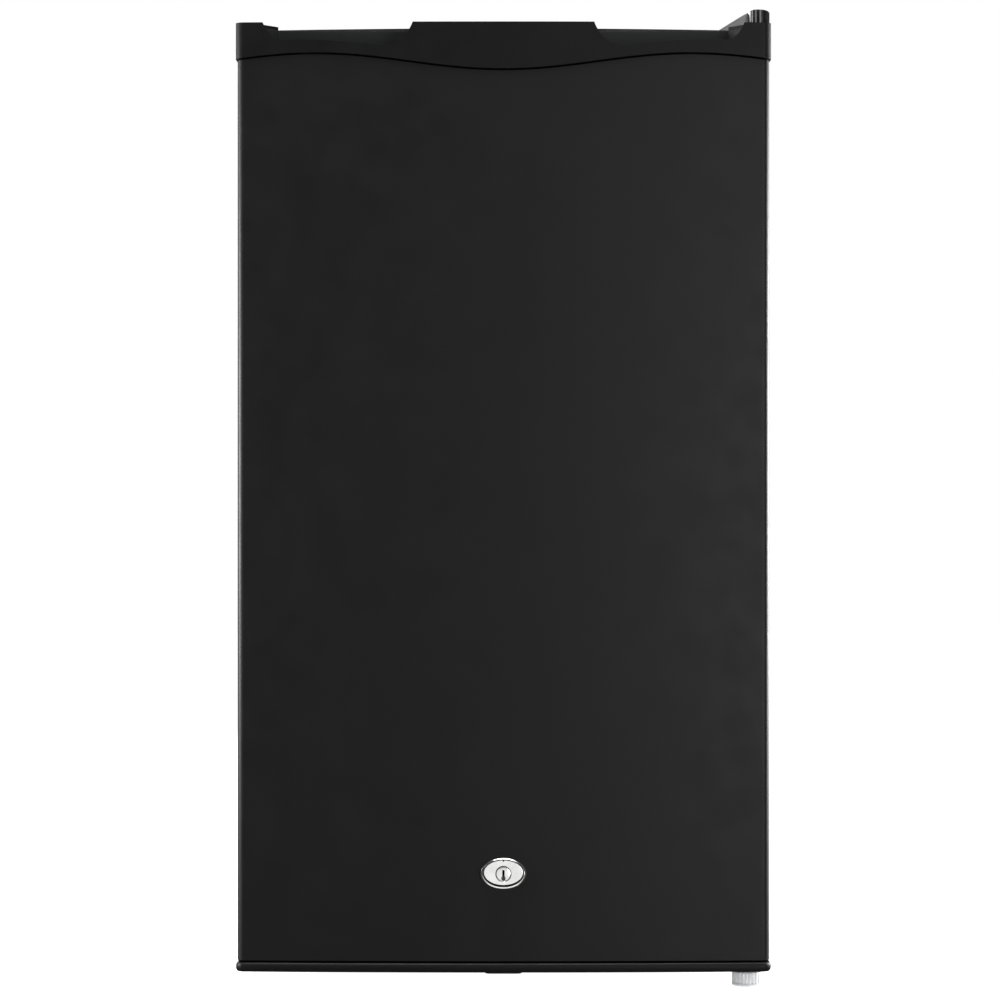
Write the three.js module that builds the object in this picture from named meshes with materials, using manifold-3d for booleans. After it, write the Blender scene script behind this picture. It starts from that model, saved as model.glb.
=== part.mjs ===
// Compact refrigerator with a bowed door, two finger scoops in the door's top
// cap, a key lock low on the door and a small freezer box inside.
// Millimetres. X to the right, Y to the back, Z up, the door faces -Y.
// The origin is on the floor, under the middle of the bounding box.

import * as THREE from "three";
import Module from "manifold-3d";
import { mergeVertices } from "three/addons/utils/BufferGeometryUtils.js";

const wasm = await Module();
wasm.setup();

// ---------------------------------------------------------------- dimensions

// Fits
const gap = 0.3; // between pieces that sit against each other
const slip = 1; // between pieces that pass each other
const through = 2; // how far a cutter runs past what it cuts

// Door
const doorWidth = 470;
const doorDepth = 43; // from the middle of the bowed front to the door's back
const doorBow = 6; // how far the middle of the front stands before its edges
const doorCorner = 8; // radius of the upright front edges
const doorBottom = 18;
const doorTop = 850;
const skinSheet = 0.8;
const capProud = 1.6; // caps stand this far outside the skin
const capLap = 10; // caps reach this far behind the skin
const bottomCapHeight = 8.5;
const bottomCapRound = 3;
const waveMean = 33.6; // mean height of the top cap's front
const waveSwing = 7.2;
const waveHalf = 166; // half a wave length of the cap's lower edge
const topCapReach = 55; // top cap's full height, skin lap included
const doorLinerSheet = 2;

// Finger scoops in the top cap
const scoopPost = 24; // from the door's side to the scoop
const scoopMiddle = 158; // cap left between the two scoops
const scoopFrontWall = 8;
const scoopBackWall = 3.7;
const scoopFloor = 38; // depth of the pocket under the door's top
const lipOuterDip = 15.6; // depth of the lip at its outer end
const lipInnerDip = 20.4; // depth of the lip at its inner end
const lipOuterRun = 19;
const lipInnerRun = 24.5;
const backWallDrop = 3; // the pocket's back wall lies this far below the top, at its ends
const backWallArch = 2;

// Cabinet
const sideInset = 1.5; // cabinet side behind the door's side
const sealGap = 10; // between door back and cabinet front
const cabinetDepth = 367;
const wrapSheet = 1.2;
const wrapBottom = 20;
const worktopHeight = 20;
const worktopDrop = 2; // worktop lies this far below the door's top
const worktopWall = 4;
const worktopCorner = 12;
const sideWall = 33.5; // insulated wall, side
const backWall = 42;
const roofWall = 34;
const floorWall = 60;
const linerSheet = 2;
const linerFlange = 21;
const stepDepth = 111; // inside step over the compressor bay
const stepHeight = 165;
const bayDepth = 127;
const bayHeight = 192;
const panelSheet = 1.2;
const panSheet = 1.5;

// Condenser and tubes
const standOff = 33; // from cabinet back to the condenser's back
const coilRadius = 2.5;
const coilPitch = 56;
const coilRuns = 9;
const suctionRadius = 4;
const tubeBend = 12;

// Hinges
const hingeSide = 9; // hinge axis in from the door's side
const hingeBack = 27; // hinge axis behind the middle of the front
const pinRadius = 3;
const bushWall = 2;
const bushLength = 13.8;
const bracketSheet = 2.5;
const bracketSweep = 15; // room before the pin for the bracket as the door opens
const coverRise = 16; // hinge cover above the door's top
const coverWall = 1.6;
const coverWidth = 46;
const coverDepth = 63;

// Lock
const lockHeight = 87; // lock axis above the door's bottom
const lockProud = 3; // lock face before the middle of the front
const lockWide = 40.2;
const lockTall = 27.4;
const lockBarrel = 9.5;
const lockPlug = 6.5;
const boltThrow = 8;
const boltWide = 6;
const boltThick = 4;
const bossWide = 32;
const bossDrop = 1.8;

// Feet
const footRadius = 14;
const footKnob = 13.5;
const footStud = 4;
const footFlutes = 24;
const studTop = 31;
const footInset = 18.3; // foot axis in from the door's side
const rightFootBack = 51; // right front foot behind the middle of the door's front
const leftFootBack = 160; // left front foot behind the middle of the door's front
const rearFootInset = 15;
const rearFootSide = 35;

// Inside
const shelfGlass = 4;
const shelfHeights = [310, 480]; // above the cabinet's bottom edge
const ledgeWide = 8;
const ledgeTall = 5;
const rackWall = 2.5;
const rackDepth = 66;
const bottleRackDepth = 84;
const rackHeights = [318, 540]; // rack floors above the cabinet's bottom edge
const rackGuard = 60;
const bottleGuard = 88;
const dikeDepth = 30;
const dikeWide = 10;
const dikeInset = 14; // door liner's dikes in from the cavity's side
const dikeMargin = 12; // door liner's dike over the cavity's floor
const dikeTopMargin = 34;
const gasketWide = 15;
const freezerHeight = 112;
const freezerSide = 12; // evaporator in from the cavity's side
const freezerSheet = 1.5;
const flapThick = 5.7;
const trayTall = 16;
const trayWall = 1.5;
const crisperTall = 150;
const crisperWall = 2.5;
const knobRadius = 17;

// ------------------------------------------------------------ derived places

const overallDepth = lockProud + doorDepth + sealGap + cabinetDepth + standOff;
const front = -overallDepth / 2; // foremost point, the lock's face
const back = overallDepth / 2; // rearmost point, the condenser
const doorHalf = doorWidth / 2;
const doorFront = front + lockProud;
const doorBack = doorFront + doorDepth;
const doorFill = doorBack - doorLinerSheet - gap; // back of caps, skin and foam
const cabinetFront = doorBack + sealGap;
const cabinetBack = cabinetFront + cabinetDepth;
const cabinetHalf = doorHalf - sideInset;
const worktopTop = doorTop - worktopDrop;
const wrapTop = worktopTop - worktopHeight;
const cavityHalf = cabinetHalf - sideWall;
const cavityFloor = wrapBottom + floorWall;
const cavityRoof = wrapTop - roofWall;
const cavityBack = cabinetBack - backWall;
const stepFront = cavityBack - stepDepth;
const stepTop = cavityFloor + stepHeight;
const bayFront = cabinetBack - bayDepth;
const bayTop = wrapBottom + bayHeight;
const panTop = wrapBottom + panSheet;
const panHalf = cabinetHalf - wrapSheet - gap;
const flangeHalf = cavityHalf + linerFlange;
const flangeBottom = cavityFloor - linerFlange;
const flangeTop = cavityRoof + linerFlange;
const hingeX = doorHalf - hingeSide;
const hingeY = doorFront + hingeBack;
const bushRadius = pinRadius + gap + bushWall;
const scoopOuter = doorHalf - scoopPost;
const scoopInner = scoopMiddle / 2;
const lockZ = doorBottom + lockHeight;
const skinFront = doorFront + capProud;
const lapInset = capProud + skinSheet + gap;
const freezerTop = cavityRoof - 8;
const freezerBottom = freezerTop - freezerHeight;
const freezerHalf = cavityHalf - freezerSide;
const freezerFront = cabinetFront + 80;
const insideFront = cabinetFront + 67; // front edge of shelves
const coilY = back - coilRadius;

// -------------------------------------------------------------------- shapes

// Maps a shape drawn in two axes and extruded along the third to its place.
// Drawn in (x, y) for "z", in (x, z) for "y" and in (y, z) for "x".
function place(geometry, axis, from, to) {
  const turned = new THREE.Matrix4();
  if (axis === "z") turned.makeTranslation(0, 0, from);
  if (axis === "x") turned.set(0, 0, 1, from, 1, 0, 0, 0, 0, 1, 0, 0, 0, 0, 0, 1);
  if (axis === "y") turned.set(1, 0, 0, 0, 0, 0, -1, to, 0, 1, 0, 0, 0, 0, 0, 1);
  return geometry.applyMatrix4(turned);
}

function prism(shape, axis, from, to, curveSegments = 8) {
  const options = { depth: to - from, bevelEnabled: false, curveSegments };
  return place(new THREE.ExtrudeGeometry(shape, options), axis, from, to);
}

function block(x, y, z) {
  const geometry = new THREE.BoxGeometry(x[1] - x[0], y[1] - y[0], z[1] - z[0]);
  return geometry.translate((x[0] + x[1]) / 2, (y[0] + y[1]) / 2, (z[0] + z[1]) / 2);
}

function rod(axis, u, v, radius, from, to, sides = 20) {
  const geometry = new THREE.CylinderGeometry(radius, radius, to - from, sides);
  geometry.rotateX(Math.PI / 2).translate(u, v, (to - from) / 2);
  return place(geometry, axis, from, to);
}

function polygon(points) {
  return new THREE.Shape(points.map(([u, v]) => new THREE.Vector2(u, v)));
}

function roundedRectangle(u, v, radius) {
  const shape = new THREE.Shape();
  shape.moveTo(u[0] + radius, v[0]);
  shape.lineTo(u[1] - radius, v[0]);
  shape.absarc(u[1] - radius, v[0] + radius, radius, -Math.PI / 2, 0, false);
  shape.absarc(u[1] - radius, v[1] - radius, radius, 0, Math.PI / 2, false);
  shape.absarc(u[0] + radius, v[1] - radius, radius, Math.PI / 2, Math.PI, false);
  shape.absarc(u[0] + radius, v[0] + radius, radius, Math.PI, 1.5 * Math.PI, false);
  return shape;
}

// A turned piece on an upright axis. The profile runs from bottom to top.
function turned(profile, x, y, sides = 24) {
  const points = profile.map(([radius, z]) => new THREE.Vector2(radius, z));
  const geometry = new THREE.LatheGeometry(points, sides);
  return geometry.rotateX(Math.PI / 2).translate(x, y, 0);
}

// A bent tube: straight between its corners, with a round bend at each.
class BentPath extends THREE.Curve {
  constructor(corners, radius, bendSteps) {
    super();
    const points = corners.map((corner) => new THREE.Vector3(...corner));
    this.points = [points[0]];
    for (let i = 1; i < points.length - 1; i += 1) {
      const before = points[i - 1].clone().sub(points[i]).setLength(radius);
      const after = points[i + 1].clone().sub(points[i]).setLength(radius);
      const centre = points[i].clone().add(before).add(after);
      for (let step = 0; step <= bendSteps; step += 1) {
        const angle = (step / bendSteps) * (Math.PI / 2);
        const point = centre.clone();
        point.addScaledVector(after, -Math.cos(angle));
        point.addScaledVector(before, -Math.sin(angle));
        this.points.push(point);
      }
    }
    this.points.push(points[points.length - 1]);
  }

  getUtoTmapping(u) {
    return u;
  }

  getPoint(t) {
    const at = Math.min(Math.max(t, 0), 1) * (this.points.length - 1);
    const start = Math.min(Math.floor(at), this.points.length - 2);
    return this.points[start].clone().lerp(this.points[start + 1], at - start);
  }
}

function bentTube(corners, tubeRadius, bendRadius, sides = 8, bendSteps = 4) {
  const path = new BentPath(corners, bendRadius, bendSteps);
  const section = new THREE.Shape();
  section.absarc(0, 0, tubeRadius, 0, 2 * Math.PI, false);
  return new THREE.ExtrudeGeometry(section, {
    steps: path.points.length - 1,
    curveSegments: sides / 2, // an arc gets two points for each
    bevelEnabled: false,
    extrudePath: path,
  });
}

// ------------------------------------------------------------------ booleans

function solid(geometry) {
  if (geometry instanceof wasm.Manifold) return geometry;
  const bare = geometry.clone();
  bare.deleteAttribute("normal");
  bare.deleteAttribute("uv");
  const merged = mergeVertices(bare);
  const vertProperties = new Float32Array(merged.attributes.position.array);
  const triVerts = new Uint32Array(merged.index.array);
  return new wasm.Manifold(new wasm.Mesh({ numProp: 3, vertProperties, triVerts }));
}

function cut(body, ...tools) {
  return tools.flat().reduce((whole, tool) => whole.subtract(solid(tool)), solid(body));
}

function join(...pieces) {
  return pieces.flat().map(solid).reduce((whole, piece) => whole.add(piece));
}

function common(first, second) {
  return solid(first).intersect(solid(second));
}

function toGeometry(body) {
  const mesh = body.getMesh();
  const geometry = new THREE.BufferGeometry();
  const positions = new Float32Array(mesh.vertProperties);
  geometry.setAttribute("position", new THREE.BufferAttribute(positions, 3));
  geometry.setIndex(new THREE.BufferAttribute(new Uint32Array(mesh.triVerts), 1));
  geometry.computeVertexNormals();
  return geometry;
}

// ------------------------------------------------------------------ finishes

const finishes = {
  skin: { color: 0x363638, roughness: 0.38, metalness: 0.35 },
  cap: { color: 0x242426, roughness: 0.42, metalness: 0 },
  wrap: { color: 0x2c2c2e, roughness: 0.45, metalness: 0.3 },
  glossBlack: { color: 0x141416, roughness: 0.12, metalness: 0 },
  nickel: { color: 0xdcdcda, roughness: 0.22, metalness: 1 },
  steel: { color: 0x9a9c9e, roughness: 0.4, metalness: 0.9 },
  zinc: { color: 0xb4b6b8, roughness: 0.45, metalness: 0.9 },
  blackSteel: { color: 0x1c1c1e, roughness: 0.55, metalness: 0.4 },
  copper: { color: 0xb4714a, roughness: 0.35, metalness: 1 },
  aluminium: { color: 0xc8cacc, roughness: 0.4, metalness: 0.9 },
  white: { color: 0xecece8, roughness: 0.4, metalness: 0 },
  foam: { color: 0xe4d8a8, roughness: 0.95, metalness: 0 },
  rubber: { color: 0x1e1e20, roughness: 0.8, metalness: 0 },
  greyFoot: { color: 0xc4c6c8, roughness: 0.45, metalness: 0 },
  clear: { color: 0xdfe8ea, roughness: 0.1, metalness: 0, transparent: true, opacity: 0.5 },
};

const group = new THREE.Group();

function add(name, shape, finish) {
  const geometry = shape instanceof wasm.Manifold ? toGeometry(shape) : shape;
  const mesh = new THREE.Mesh(geometry, new THREE.MeshStandardMaterial(finishes[finish]));
  mesh.name = name;
  group.add(mesh);
}

// ------------------------------------------------------------ shared cutters

const rightFoot = { x: doorHalf - footInset, y: doorFront + rightFootBack };
const leftFoot = { x: footInset - doorHalf, y: doorFront + leftFootBack };

function studHole(foot, clearance) {
  return rod("z", foot.x, foot.y, footStud + clearance, 0, studTop + through);
}

const studWells = [rightFoot, leftFoot].map((foot) => studHole(foot, 1.5));

const lowerScrewHead = wrapBottom - gap - bracketSheet - gap;
const lowerScrews = [51, 34].map((forward) => ({
  x: doorHalf - 15,
  y: cabinetFront + 73 - forward,
}));
const upperScrews = [17, 40].map((backward) => ({
  x: doorHalf - 34,
  y: cabinetFront + backward,
}));
const screwShank = 2;
const screwHead = 4;
const screwLength = 7;

function screwHole(screw, clearance) {
  return rod("z", screw.x, screw.y, screwShank + clearance, 0, doorTop, 12);
}

const suction = { x: -100, z: freezerBottom + 26 };
const drain = { x: 30, y: stepFront + 78, radius: 5 };

function suctionPort(clearance) {
  const radius = suctionRadius + clearance;
  return rod("y", suction.x, suction.z, radius, cavityBack - 3, cabinetBack + through, 12);
}

function drainPort(radius) {
  return rod("z", drain.x, drain.y, radius, bayTop - through, stepTop + through, 16);
}

// ------------------------------------------------------------------- cabinet

const inner = cabinetHalf - wrapSheet;

function makeWrap() {
  const outside = block(
    [-cabinetHalf, cabinetHalf],
    [cabinetFront, cabinetBack],
    [wrapBottom, wrapTop],
  );
  const inside = block(
    [-inner, inner],
    [cabinetFront + wrapSheet, cabinetBack + through],
    [wrapBottom - through, wrapTop - wrapSheet],
  );
  const mouth = block(
    [-flangeHalf - gap, flangeHalf + gap],
    [cabinetFront - through, cabinetFront + through],
    [flangeBottom - gap, flangeTop + gap],
  );
  const holes = upperScrews.map((screw) => screwHole(screw, gap));
  return cut(outside, inside, mouth, studWells, holes);
}

function makeBasePan() {
  const y = [cabinetFront + wrapSheet + gap, cabinetBack - gap];
  const plate = block([-panHalf, panHalf], y, [wrapBottom, panTop]);
  const tabX = [gland.x - 20, gland.x + 20];
  const tab = block(tabX, tabY, [wrapBottom + panSheet / 2, gland.z + 18]);
  const glandHole = rod("y", gland.x, gland.z, gland.radius + gap, tabY[0] - 9, cabinetBack);
  const holes = lowerScrews.map((screw) => screwHole(screw, gap));
  return cut(join(plate, tab), glandHole, holes, studWells[0], studHole(leftFoot, gap));
}

// An upright tab at the pan's rear edge carries the cord gland.
const tabY = [cabinetBack - gap - 2 * panSheet, cabinetBack - gap - panSheet];

// The liner's hollow, seen from the side, grown by a margin.
function cavityProfile(margin, mouth) {
  return polygon([
    [mouth, cavityFloor - margin],
    [stepFront + margin, cavityFloor - margin],
    [stepFront + margin, stepTop - margin],
    [cavityBack + margin, stepTop - margin],
    [cavityBack + margin, cavityRoof + margin],
    [mouth, cavityRoof + margin],
  ]);
}

const coverZ = stepTop + 2; // underside of the crisper's glass cover, less its gap

function ledge(side, top, y) {
  const x = [cavityHalf - ledgeWide, cavityHalf + linerSheet / 2];
  const spread = side > 0 ? x : [-x[1], -x[0]];
  return block(spread, y, [top - ledgeTall, top]);
}

function makeLiner() {
  const outerHalf = cavityHalf + linerSheet;
  const shell = prism(cavityProfile(linerSheet, cabinetFront), "x", -outerHalf, outerHalf);
  const hollow = prism(cavityProfile(0, cabinetFront - through), "x", -cavityHalf, cavityHalf);
  const flange = block(
    [-flangeHalf, flangeHalf],
    [cabinetFront, cabinetFront + linerSheet],
    [flangeBottom, flangeTop],
  );
  const ledges = [-1, 1].flatMap((side) => [
    ...shelfHeights.map((height) =>
      ledge(side, wrapBottom + height - gap, [insideFront + 5, cavityBack - 13]),
    ),
    ledge(side, coverZ, [insideFront + 15, stepFront + 1]),
  ]);
  const body = join(cut(join(shell, flange), hollow), ledges);
  return cut(body, drainPort(drain.radius - 1), suctionPort(gap));
}

function makeFoam() {
  const y = [cabinetFront + linerSheet + gap, cabinetBack - panelSheet - gap];
  const full = block([-panHalf, panHalf], y, [panTop + gap, wrapTop - wrapSheet - gap]);
  const margin = linerSheet + gap;
  const half = cavityHalf + margin;
  const hollow = prism(cavityProfile(margin, cabinetFront), "x", -half, half);
  const bay = block(
    [-cabinetHalf, cabinetHalf],
    [bayFront - panelSheet - gap, cabinetBack],
    [wrapBottom, bayTop + panelSheet + gap],
  );
  const screws = [...lowerScrews, ...upperScrews].map((screw) => screwHole(screw, gap));
  return cut(full, hollow, bay, studWells, screws, suctionPort(gap), drainPort(drain.radius + gap));
}

function makeBayPanel() {
  const top = bayTop + panelSheet;
  const rear = cabinetBack - gap;
  const profile = polygon([
    [bayFront - panelSheet, panTop + gap],
    [bayFront, panTop + gap],
    [bayFront, bayTop],
    [rear, bayTop],
    [rear, top],
    [bayFront - panelSheet, top],
  ]);
  return cut(prism(profile, "x", -panHalf, panHalf), drainPort(drain.radius + gap));
}

function makeBackPanel() {
  const z = [bayTop + panelSheet + gap, wrapTop - wrapSheet - gap];
  const plate = block([-panHalf, panHalf], [cabinetBack - panelSheet, cabinetBack], z);
  return cut(plate, suctionPort(gap));
}

const hingeNook = {
  x: [cabinetHalf - coverWidth - slip, cabinetHalf + through],
  y: [cabinetFront - through, cabinetFront + coverDepth + 3 + slip],
};

function makeWorktop() {
  const rear = cabinetBack + 2;
  const outline = roundedRectangle(
    [-cabinetHalf, cabinetHalf],
    [cabinetFront, rear],
    worktopCorner,
  );
  const bottom = wrapTop + gap;
  const round = 4;
  const upper = new THREE.ExtrudeGeometry(outline, {
    depth: worktopTop - bottom - round,
    bevelEnabled: true,
    bevelThickness: round,
    bevelSize: round,
    bevelOffset: -round,
    bevelSegments: 3,
    curveSegments: 6,
  });
  upper.translate(0, 0, bottom);
  const lid = cut(upper, block([-doorWidth, doorWidth], [front, back], [bottom - 10, bottom]));
  const hollow = block(
    [worktopWall - cabinetHalf, cabinetHalf - worktopWall],
    [cabinetFront + worktopWall, rear - worktopWall],
    [bottom - through, worktopTop - worktopWall],
  );
  const nookWall = block(
    [hingeNook.x[0] - worktopWall, hingeNook.x[1]],
    [hingeNook.y[0], hingeNook.y[1] + worktopWall],
    [bottom - 2 * through, worktopTop],
  );
  const nook = block(hingeNook.x, hingeNook.y, [bottom - 2 * through, worktopTop + through]);
  return cut(lid, cut(hollow, nookWall), nook);
}

// -------------------------------------------------------------------- hinges

function screw(point, headFrom, upward) {
  const head = upward ? [headFrom - 1.5, headFrom] : [headFrom, headFrom + 2.2];
  const shank = upward ? [headFrom - 0.5, headFrom + screwLength] : [headFrom - 12, headFrom + 0.5];
  return join(
    rod("z", point.x, point.y, screwHead, head[0], head[1], 16),
    rod("z", point.x, point.y, screwShank, shank[0], shank[1], 12),
  );
}

const tongueBottom = doorTop + 1.2;
const tongueTop = tongueBottom + bracketSheet;
const tongueHalf = 6.5;
const riserFront = cabinetFront + 3.4;
const upperBase = wrapTop + gap;

function makeUpperBracket() {
  const tongue = join(
    rod("z", hingeX, hingeY, tongueHalf, tongueBottom, tongueTop, 24),
    block(
      [hingeX - tongueHalf, hingeX + tongueHalf],
      [hingeY, riserFront + bracketSheet],
      [tongueBottom, tongueTop],
    ),
  );
  const riser = block(
    [hingeX - tongueHalf, hingeX + tongueHalf],
    [riserFront, riserFront + bracketSheet],
    [upperBase, tongueTop],
  );
  const base = block(
    [hingeX - 31, hingeX + tongueHalf - 1],
    [riserFront, riserFront + 50],
    [upperBase, upperBase + bracketSheet],
  );
  const pinHole = rod("z", hingeX, hingeY, pinRadius + gap, tongueBottom - 1, tongueTop + 1);
  const holes = upperScrews.map((point) => screwHole(point, gap));
  return cut(join(tongue, riser, base), pinHole, holes);
}

function makeUpperPin() {
  return turned(
    [
      [0, doorTop - bushLength],
      [pinRadius, doorTop - bushLength],
      [pinRadius, tongueTop + gap],
      [pinRadius + 2, tongueTop + gap],
      [pinRadius + 1.4, tongueTop + gap + 2],
      [0, tongueTop + gap + 2],
    ],
    hingeX,
    hingeY,
    20,
  );
}

// Front view of the cover: a wedge that rises towards the door's side.
function coverProfile(inset, bottom) {
  const right = cabinetHalf + sideInset - gap - inset;
  const left = cabinetHalf - coverWidth + inset;
  const top = doorTop + coverRise - inset;
  return polygon([
    [left, bottom],
    [right, bottom],
    [right, top - 2],
    [right - 4, top - 0.5],
    [right - 14, top],
    [left + 2, top - coverRise],
    [left, top - coverRise - 4],
  ]);
}

function noseShape(radius, rear) {
  const shape = new THREE.Shape();
  shape.moveTo(hingeX + radius, rear);
  shape.lineTo(hingeX - radius, rear);
  shape.absarc(hingeX, hingeY, radius, Math.PI, 2 * Math.PI, false);
  return shape;
}

function makeHingeCover() {
  const noseRadius = hingeSide - gap;
  const noseBottom = doorTop + 0.8;
  const noseTop = doorTop + coverRise;
  const y = [cabinetFront + 1, cabinetFront + 1 + coverDepth];
  const bodyFront = y[0] - 0.5;
  const outside = join(
    prism(coverProfile(0, upperBase + gap), "y", bodyFront, y[1]),
    common(
      prism(noseShape(noseRadius, y[0] + 10), "z", noseBottom, noseTop, 12),
      prism(coverProfile(0, upperBase + gap), "y", front, y[1]),
    ),
  );
  const inside = join(
    prism(coverProfile(coverWall, upperBase - 1), "y", bodyFront + coverWall, y[1] - coverWall),
    prism(
      noseShape(noseRadius - coverWall, y[0] + 6),
      "z",
      noseBottom - 1,
      noseTop - coverWall - 1,
      12,
    ),
  );
  return cut(outside, inside);
}

const lowerPlateTop = wrapBottom - gap;
const lowerPlateBottom = lowerPlateTop - bracketSheet;

function makeLowerBracket() {
  const outline = roundedRectangle(
    [rightFoot.x - 9, hingeX + 8],
    [hingeY - 8, cabinetFront + 50],
    7.9,
  );
  const plate = prism(outline, "z", lowerPlateBottom, lowerPlateTop, 4);
  const pinHole = rod("z", hingeX, hingeY, pinRadius + gap, 0, doorTop);
  const holes = lowerScrews.map((point) => screwHole(point, gap));
  return cut(plate, pinHole, holes, studHole(rightFoot, gap));
}

function makeLowerPin() {
  const head = lowerPlateBottom - gap;
  return turned(
    [
      [0, head - 1],
      [pinRadius + 2, head - 1],
      [pinRadius + 2, head],
      [pinRadius, head],
      [pinRadius, head + 16],
      [0, head + 16],
    ],
    hingeX,
    hingeY,
    20,
  );
}

function bush(bottom, top) {
  const outline = new THREE.Shape();
  outline.absarc(hingeX, hingeY, bushRadius, 0, 2 * Math.PI, false);
  const bore = new THREE.Path();
  bore.absarc(hingeX, hingeY, pinRadius + gap, 0, 2 * Math.PI, false);
  outline.holes.push(bore);
  return prism(outline, "z", bottom, top, 10);
}

// ---------------------------------------------------------------------- door

// Plan of the door, drawn smaller all round its front and sides by an inset.
function doorPlan(inset, rear) {
  const half = doorHalf - inset;
  const middle = doorFront + inset;
  const edge = middle + doorBow;
  const corner = doorCorner - inset;
  const shape = new THREE.Shape();
  shape.moveTo(half, rear);
  shape.lineTo(-half, rear);
  shape.lineTo(-half, edge + corner);
  shape.quadraticCurveTo(-half, edge, corner - half, edge);
  shape.quadraticCurveTo(0, 2 * middle - edge, half - corner, edge);
  shape.quadraticCurveTo(half, edge, half, edge + corner);
  return shape;
}

function doorPrism(inset, rear, bottom, top) {
  return prism(doorPlan(inset, rear), "z", bottom, top, 8);
}

// Everything above the top cap's wavy lower edge, moved down by a drop.
function aboveWave(drop) {
  const half = doorHalf + through;
  const steps = 22;
  const points = [
    [half, doorTop + through],
    [-half, doorTop + through],
  ];
  for (let i = 0; i <= steps; i += 1) {
    const x = -half + (2 * half * i) / steps;
    const height = waveMean + waveSwing * Math.cos((Math.PI * x) / waveHalf);
    points.push([x, doorTop - height - drop]);
  }
  return prism(polygon(points), "y", doorFront - through, cabinetFront);
}

const lockHoleRadius = lockBarrel + gap;
const skinBottom = doorBottom + bottomCapHeight + gap;

function makeSkin() {
  const outside = doorPrism(capProud, doorFill, skinBottom, doorTop);
  const inside = doorPrism(capProud + skinSheet, cabinetFront, 0, doorTop + through);
  const lockHole = rod("y", 0, lockZ, lockHoleRadius, front, skinFront + 5);
  return cut(outside, inside, aboveWave(gap), lockHole);
}

// Everything above the lip in the cap's front wall, for the scoop on the right.
function lipShape() {
  const top = doorTop;
  const shape = new THREE.Shape();
  shape.moveTo(scoopOuter, top + through);
  shape.lineTo(scoopOuter, top);
  shape.bezierCurveTo(
    scoopOuter - 4.5,
    top - 11,
    scoopOuter - 10,
    top - lipOuterDip,
    scoopOuter - lipOuterRun,
    top - lipOuterDip,
  );
  shape.lineTo(scoopInner + lipInnerRun, top - lipInnerDip);
  shape.bezierCurveTo(
    scoopInner + 14,
    top - lipInnerDip + 1.4,
    scoopInner + 4,
    top - 11,
    scoopInner,
    top,
  );
  shape.lineTo(scoopInner, top + through);
  return shape;
}

function makeTopCap() {
  const lapBottom = doorTop - topCapReach;
  const apron = common(doorPrism(0, doorFill, lapBottom, doorTop), aboveWave(0));
  const lap = doorPrism(lapInset, doorFill, lapBottom, doorTop);
  const pocketY = [doorFront + scoopFrontWall, doorFill - scoopBackWall];
  const pocketBottom = doorTop - scoopFloor;
  const hollow = block(
    [8 - doorHalf, doorHalf - 8],
    [doorFront + 11, doorFill - 2.5],
    [lapBottom - through, pocketBottom - 3],
  );
  const middleHollow = block(
    [5 - scoopInner, scoopInner - 5],
    [doorFront + 11, doorFill - 2.5],
    [lapBottom - through, doorTop - 4],
  );
  const cutters = [hollow, middleHollow];
  for (const side of [-1, 1]) {
    const x = [side * scoopInner, side * scoopOuter].sort((a, b) => a - b);
    cutters.push(block(x, pocketY, [pocketBottom, doorTop + through]));
    const notch = prism(lipShape(), "y", front, pocketY[0] + 1);
    cutters.push(side > 0 ? notch : mirrored(notch));
  }
  cutters.push(archCutter(pocketY[1]));
  cutters.push(bushSeat(doorTop - 0.2 - bushLength, doorTop + through));
  const hingeBlock = doorPost(lapBottom, doorTop - 1);
  return cut(join(cut(join(apron, lap), cutters[0], cutters[1]), hingeBlock), cutters.slice(2));
}

function mirrored(geometry) {
  return solid(geometry).mirror([1, 0, 0]);
}

// Takes the cap's back wall down to a shallow arch between its two posts.
function archCutter(wallFront) {
  const shape = new THREE.Shape();
  shape.moveTo(scoopOuter, doorTop + through);
  shape.lineTo(-scoopOuter, doorTop + through);
  shape.lineTo(-scoopOuter, doorTop - backWallDrop);
  shape.quadraticCurveTo(
    0,
    doorTop - backWallDrop + 2 * backWallArch,
    scoopOuter,
    doorTop - backWallDrop,
  );
  return prism(shape, "y", wallFront, cabinetFront, 12);
}

// Material round a hinge bush, inside the door's corner.
function doorPost(bottom, top) {
  return block(
    [hingeX - bushRadius - 4, doorHalf - lapInset],
    [doorFront + 14, doorFill],
    [bottom, top],
  );
}

function bushSeat(bottom, top) {
  return rod("z", hingeX, hingeY, bushRadius + gap, bottom - gap, top);
}

const boltY = [doorFill - gap - boltThick - 1, doorFill - gap - 1];
const bottomLapTop = doorBottom + bottomCapHeight + capLap;

function boltHole(bottom, top) {
  const half = boltWide / 2 + gap;
  return block([-half, half], [boltY[0] - gap, boltY[1] + gap], [bottom, top]);
}

function makeBottomCap() {
  const top = doorBottom + bottomCapHeight;
  const bead = new THREE.ExtrudeGeometry(doorPlan(0, doorFill), {
    depth: bottomCapHeight - 2 * bottomCapRound,
    bevelEnabled: true,
    bevelThickness: bottomCapRound,
    bevelSize: bottomCapRound,
    bevelOffset: -bottomCapRound,
    bevelSegments: 3,
    curveSegments: 8,
  });
  bead.translate(0, 0, doorBottom + bottomCapRound);
  const lap = doorPrism(lapInset, doorFill, top - bottomCapRound - 0.5, bottomLapTop);
  const boss = prism(
    roundedRectangle([-bossWide / 2, bossWide / 2], [doorFront + 9, doorFill], 6),
    "z",
    doorBottom - bossDrop,
    doorBottom + 3,
    4,
  );
  const post = doorPost(top, bottomLapTop + 5);
  const recess = block(
    [rightFoot.x - 12, doorHalf + through],
    [hingeY - bracketSweep, cabinetFront],
    [0, lowerPlateTop + slip],
  );
  const body = join(bead, lap, boss, post);
  return cut(body, recess, bushSeat(0, bottomLapTop), boltHole(0, doorTop / 4));
}

const armY = [boltY[0] - gap - 3, boltY[0] - gap];

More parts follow.
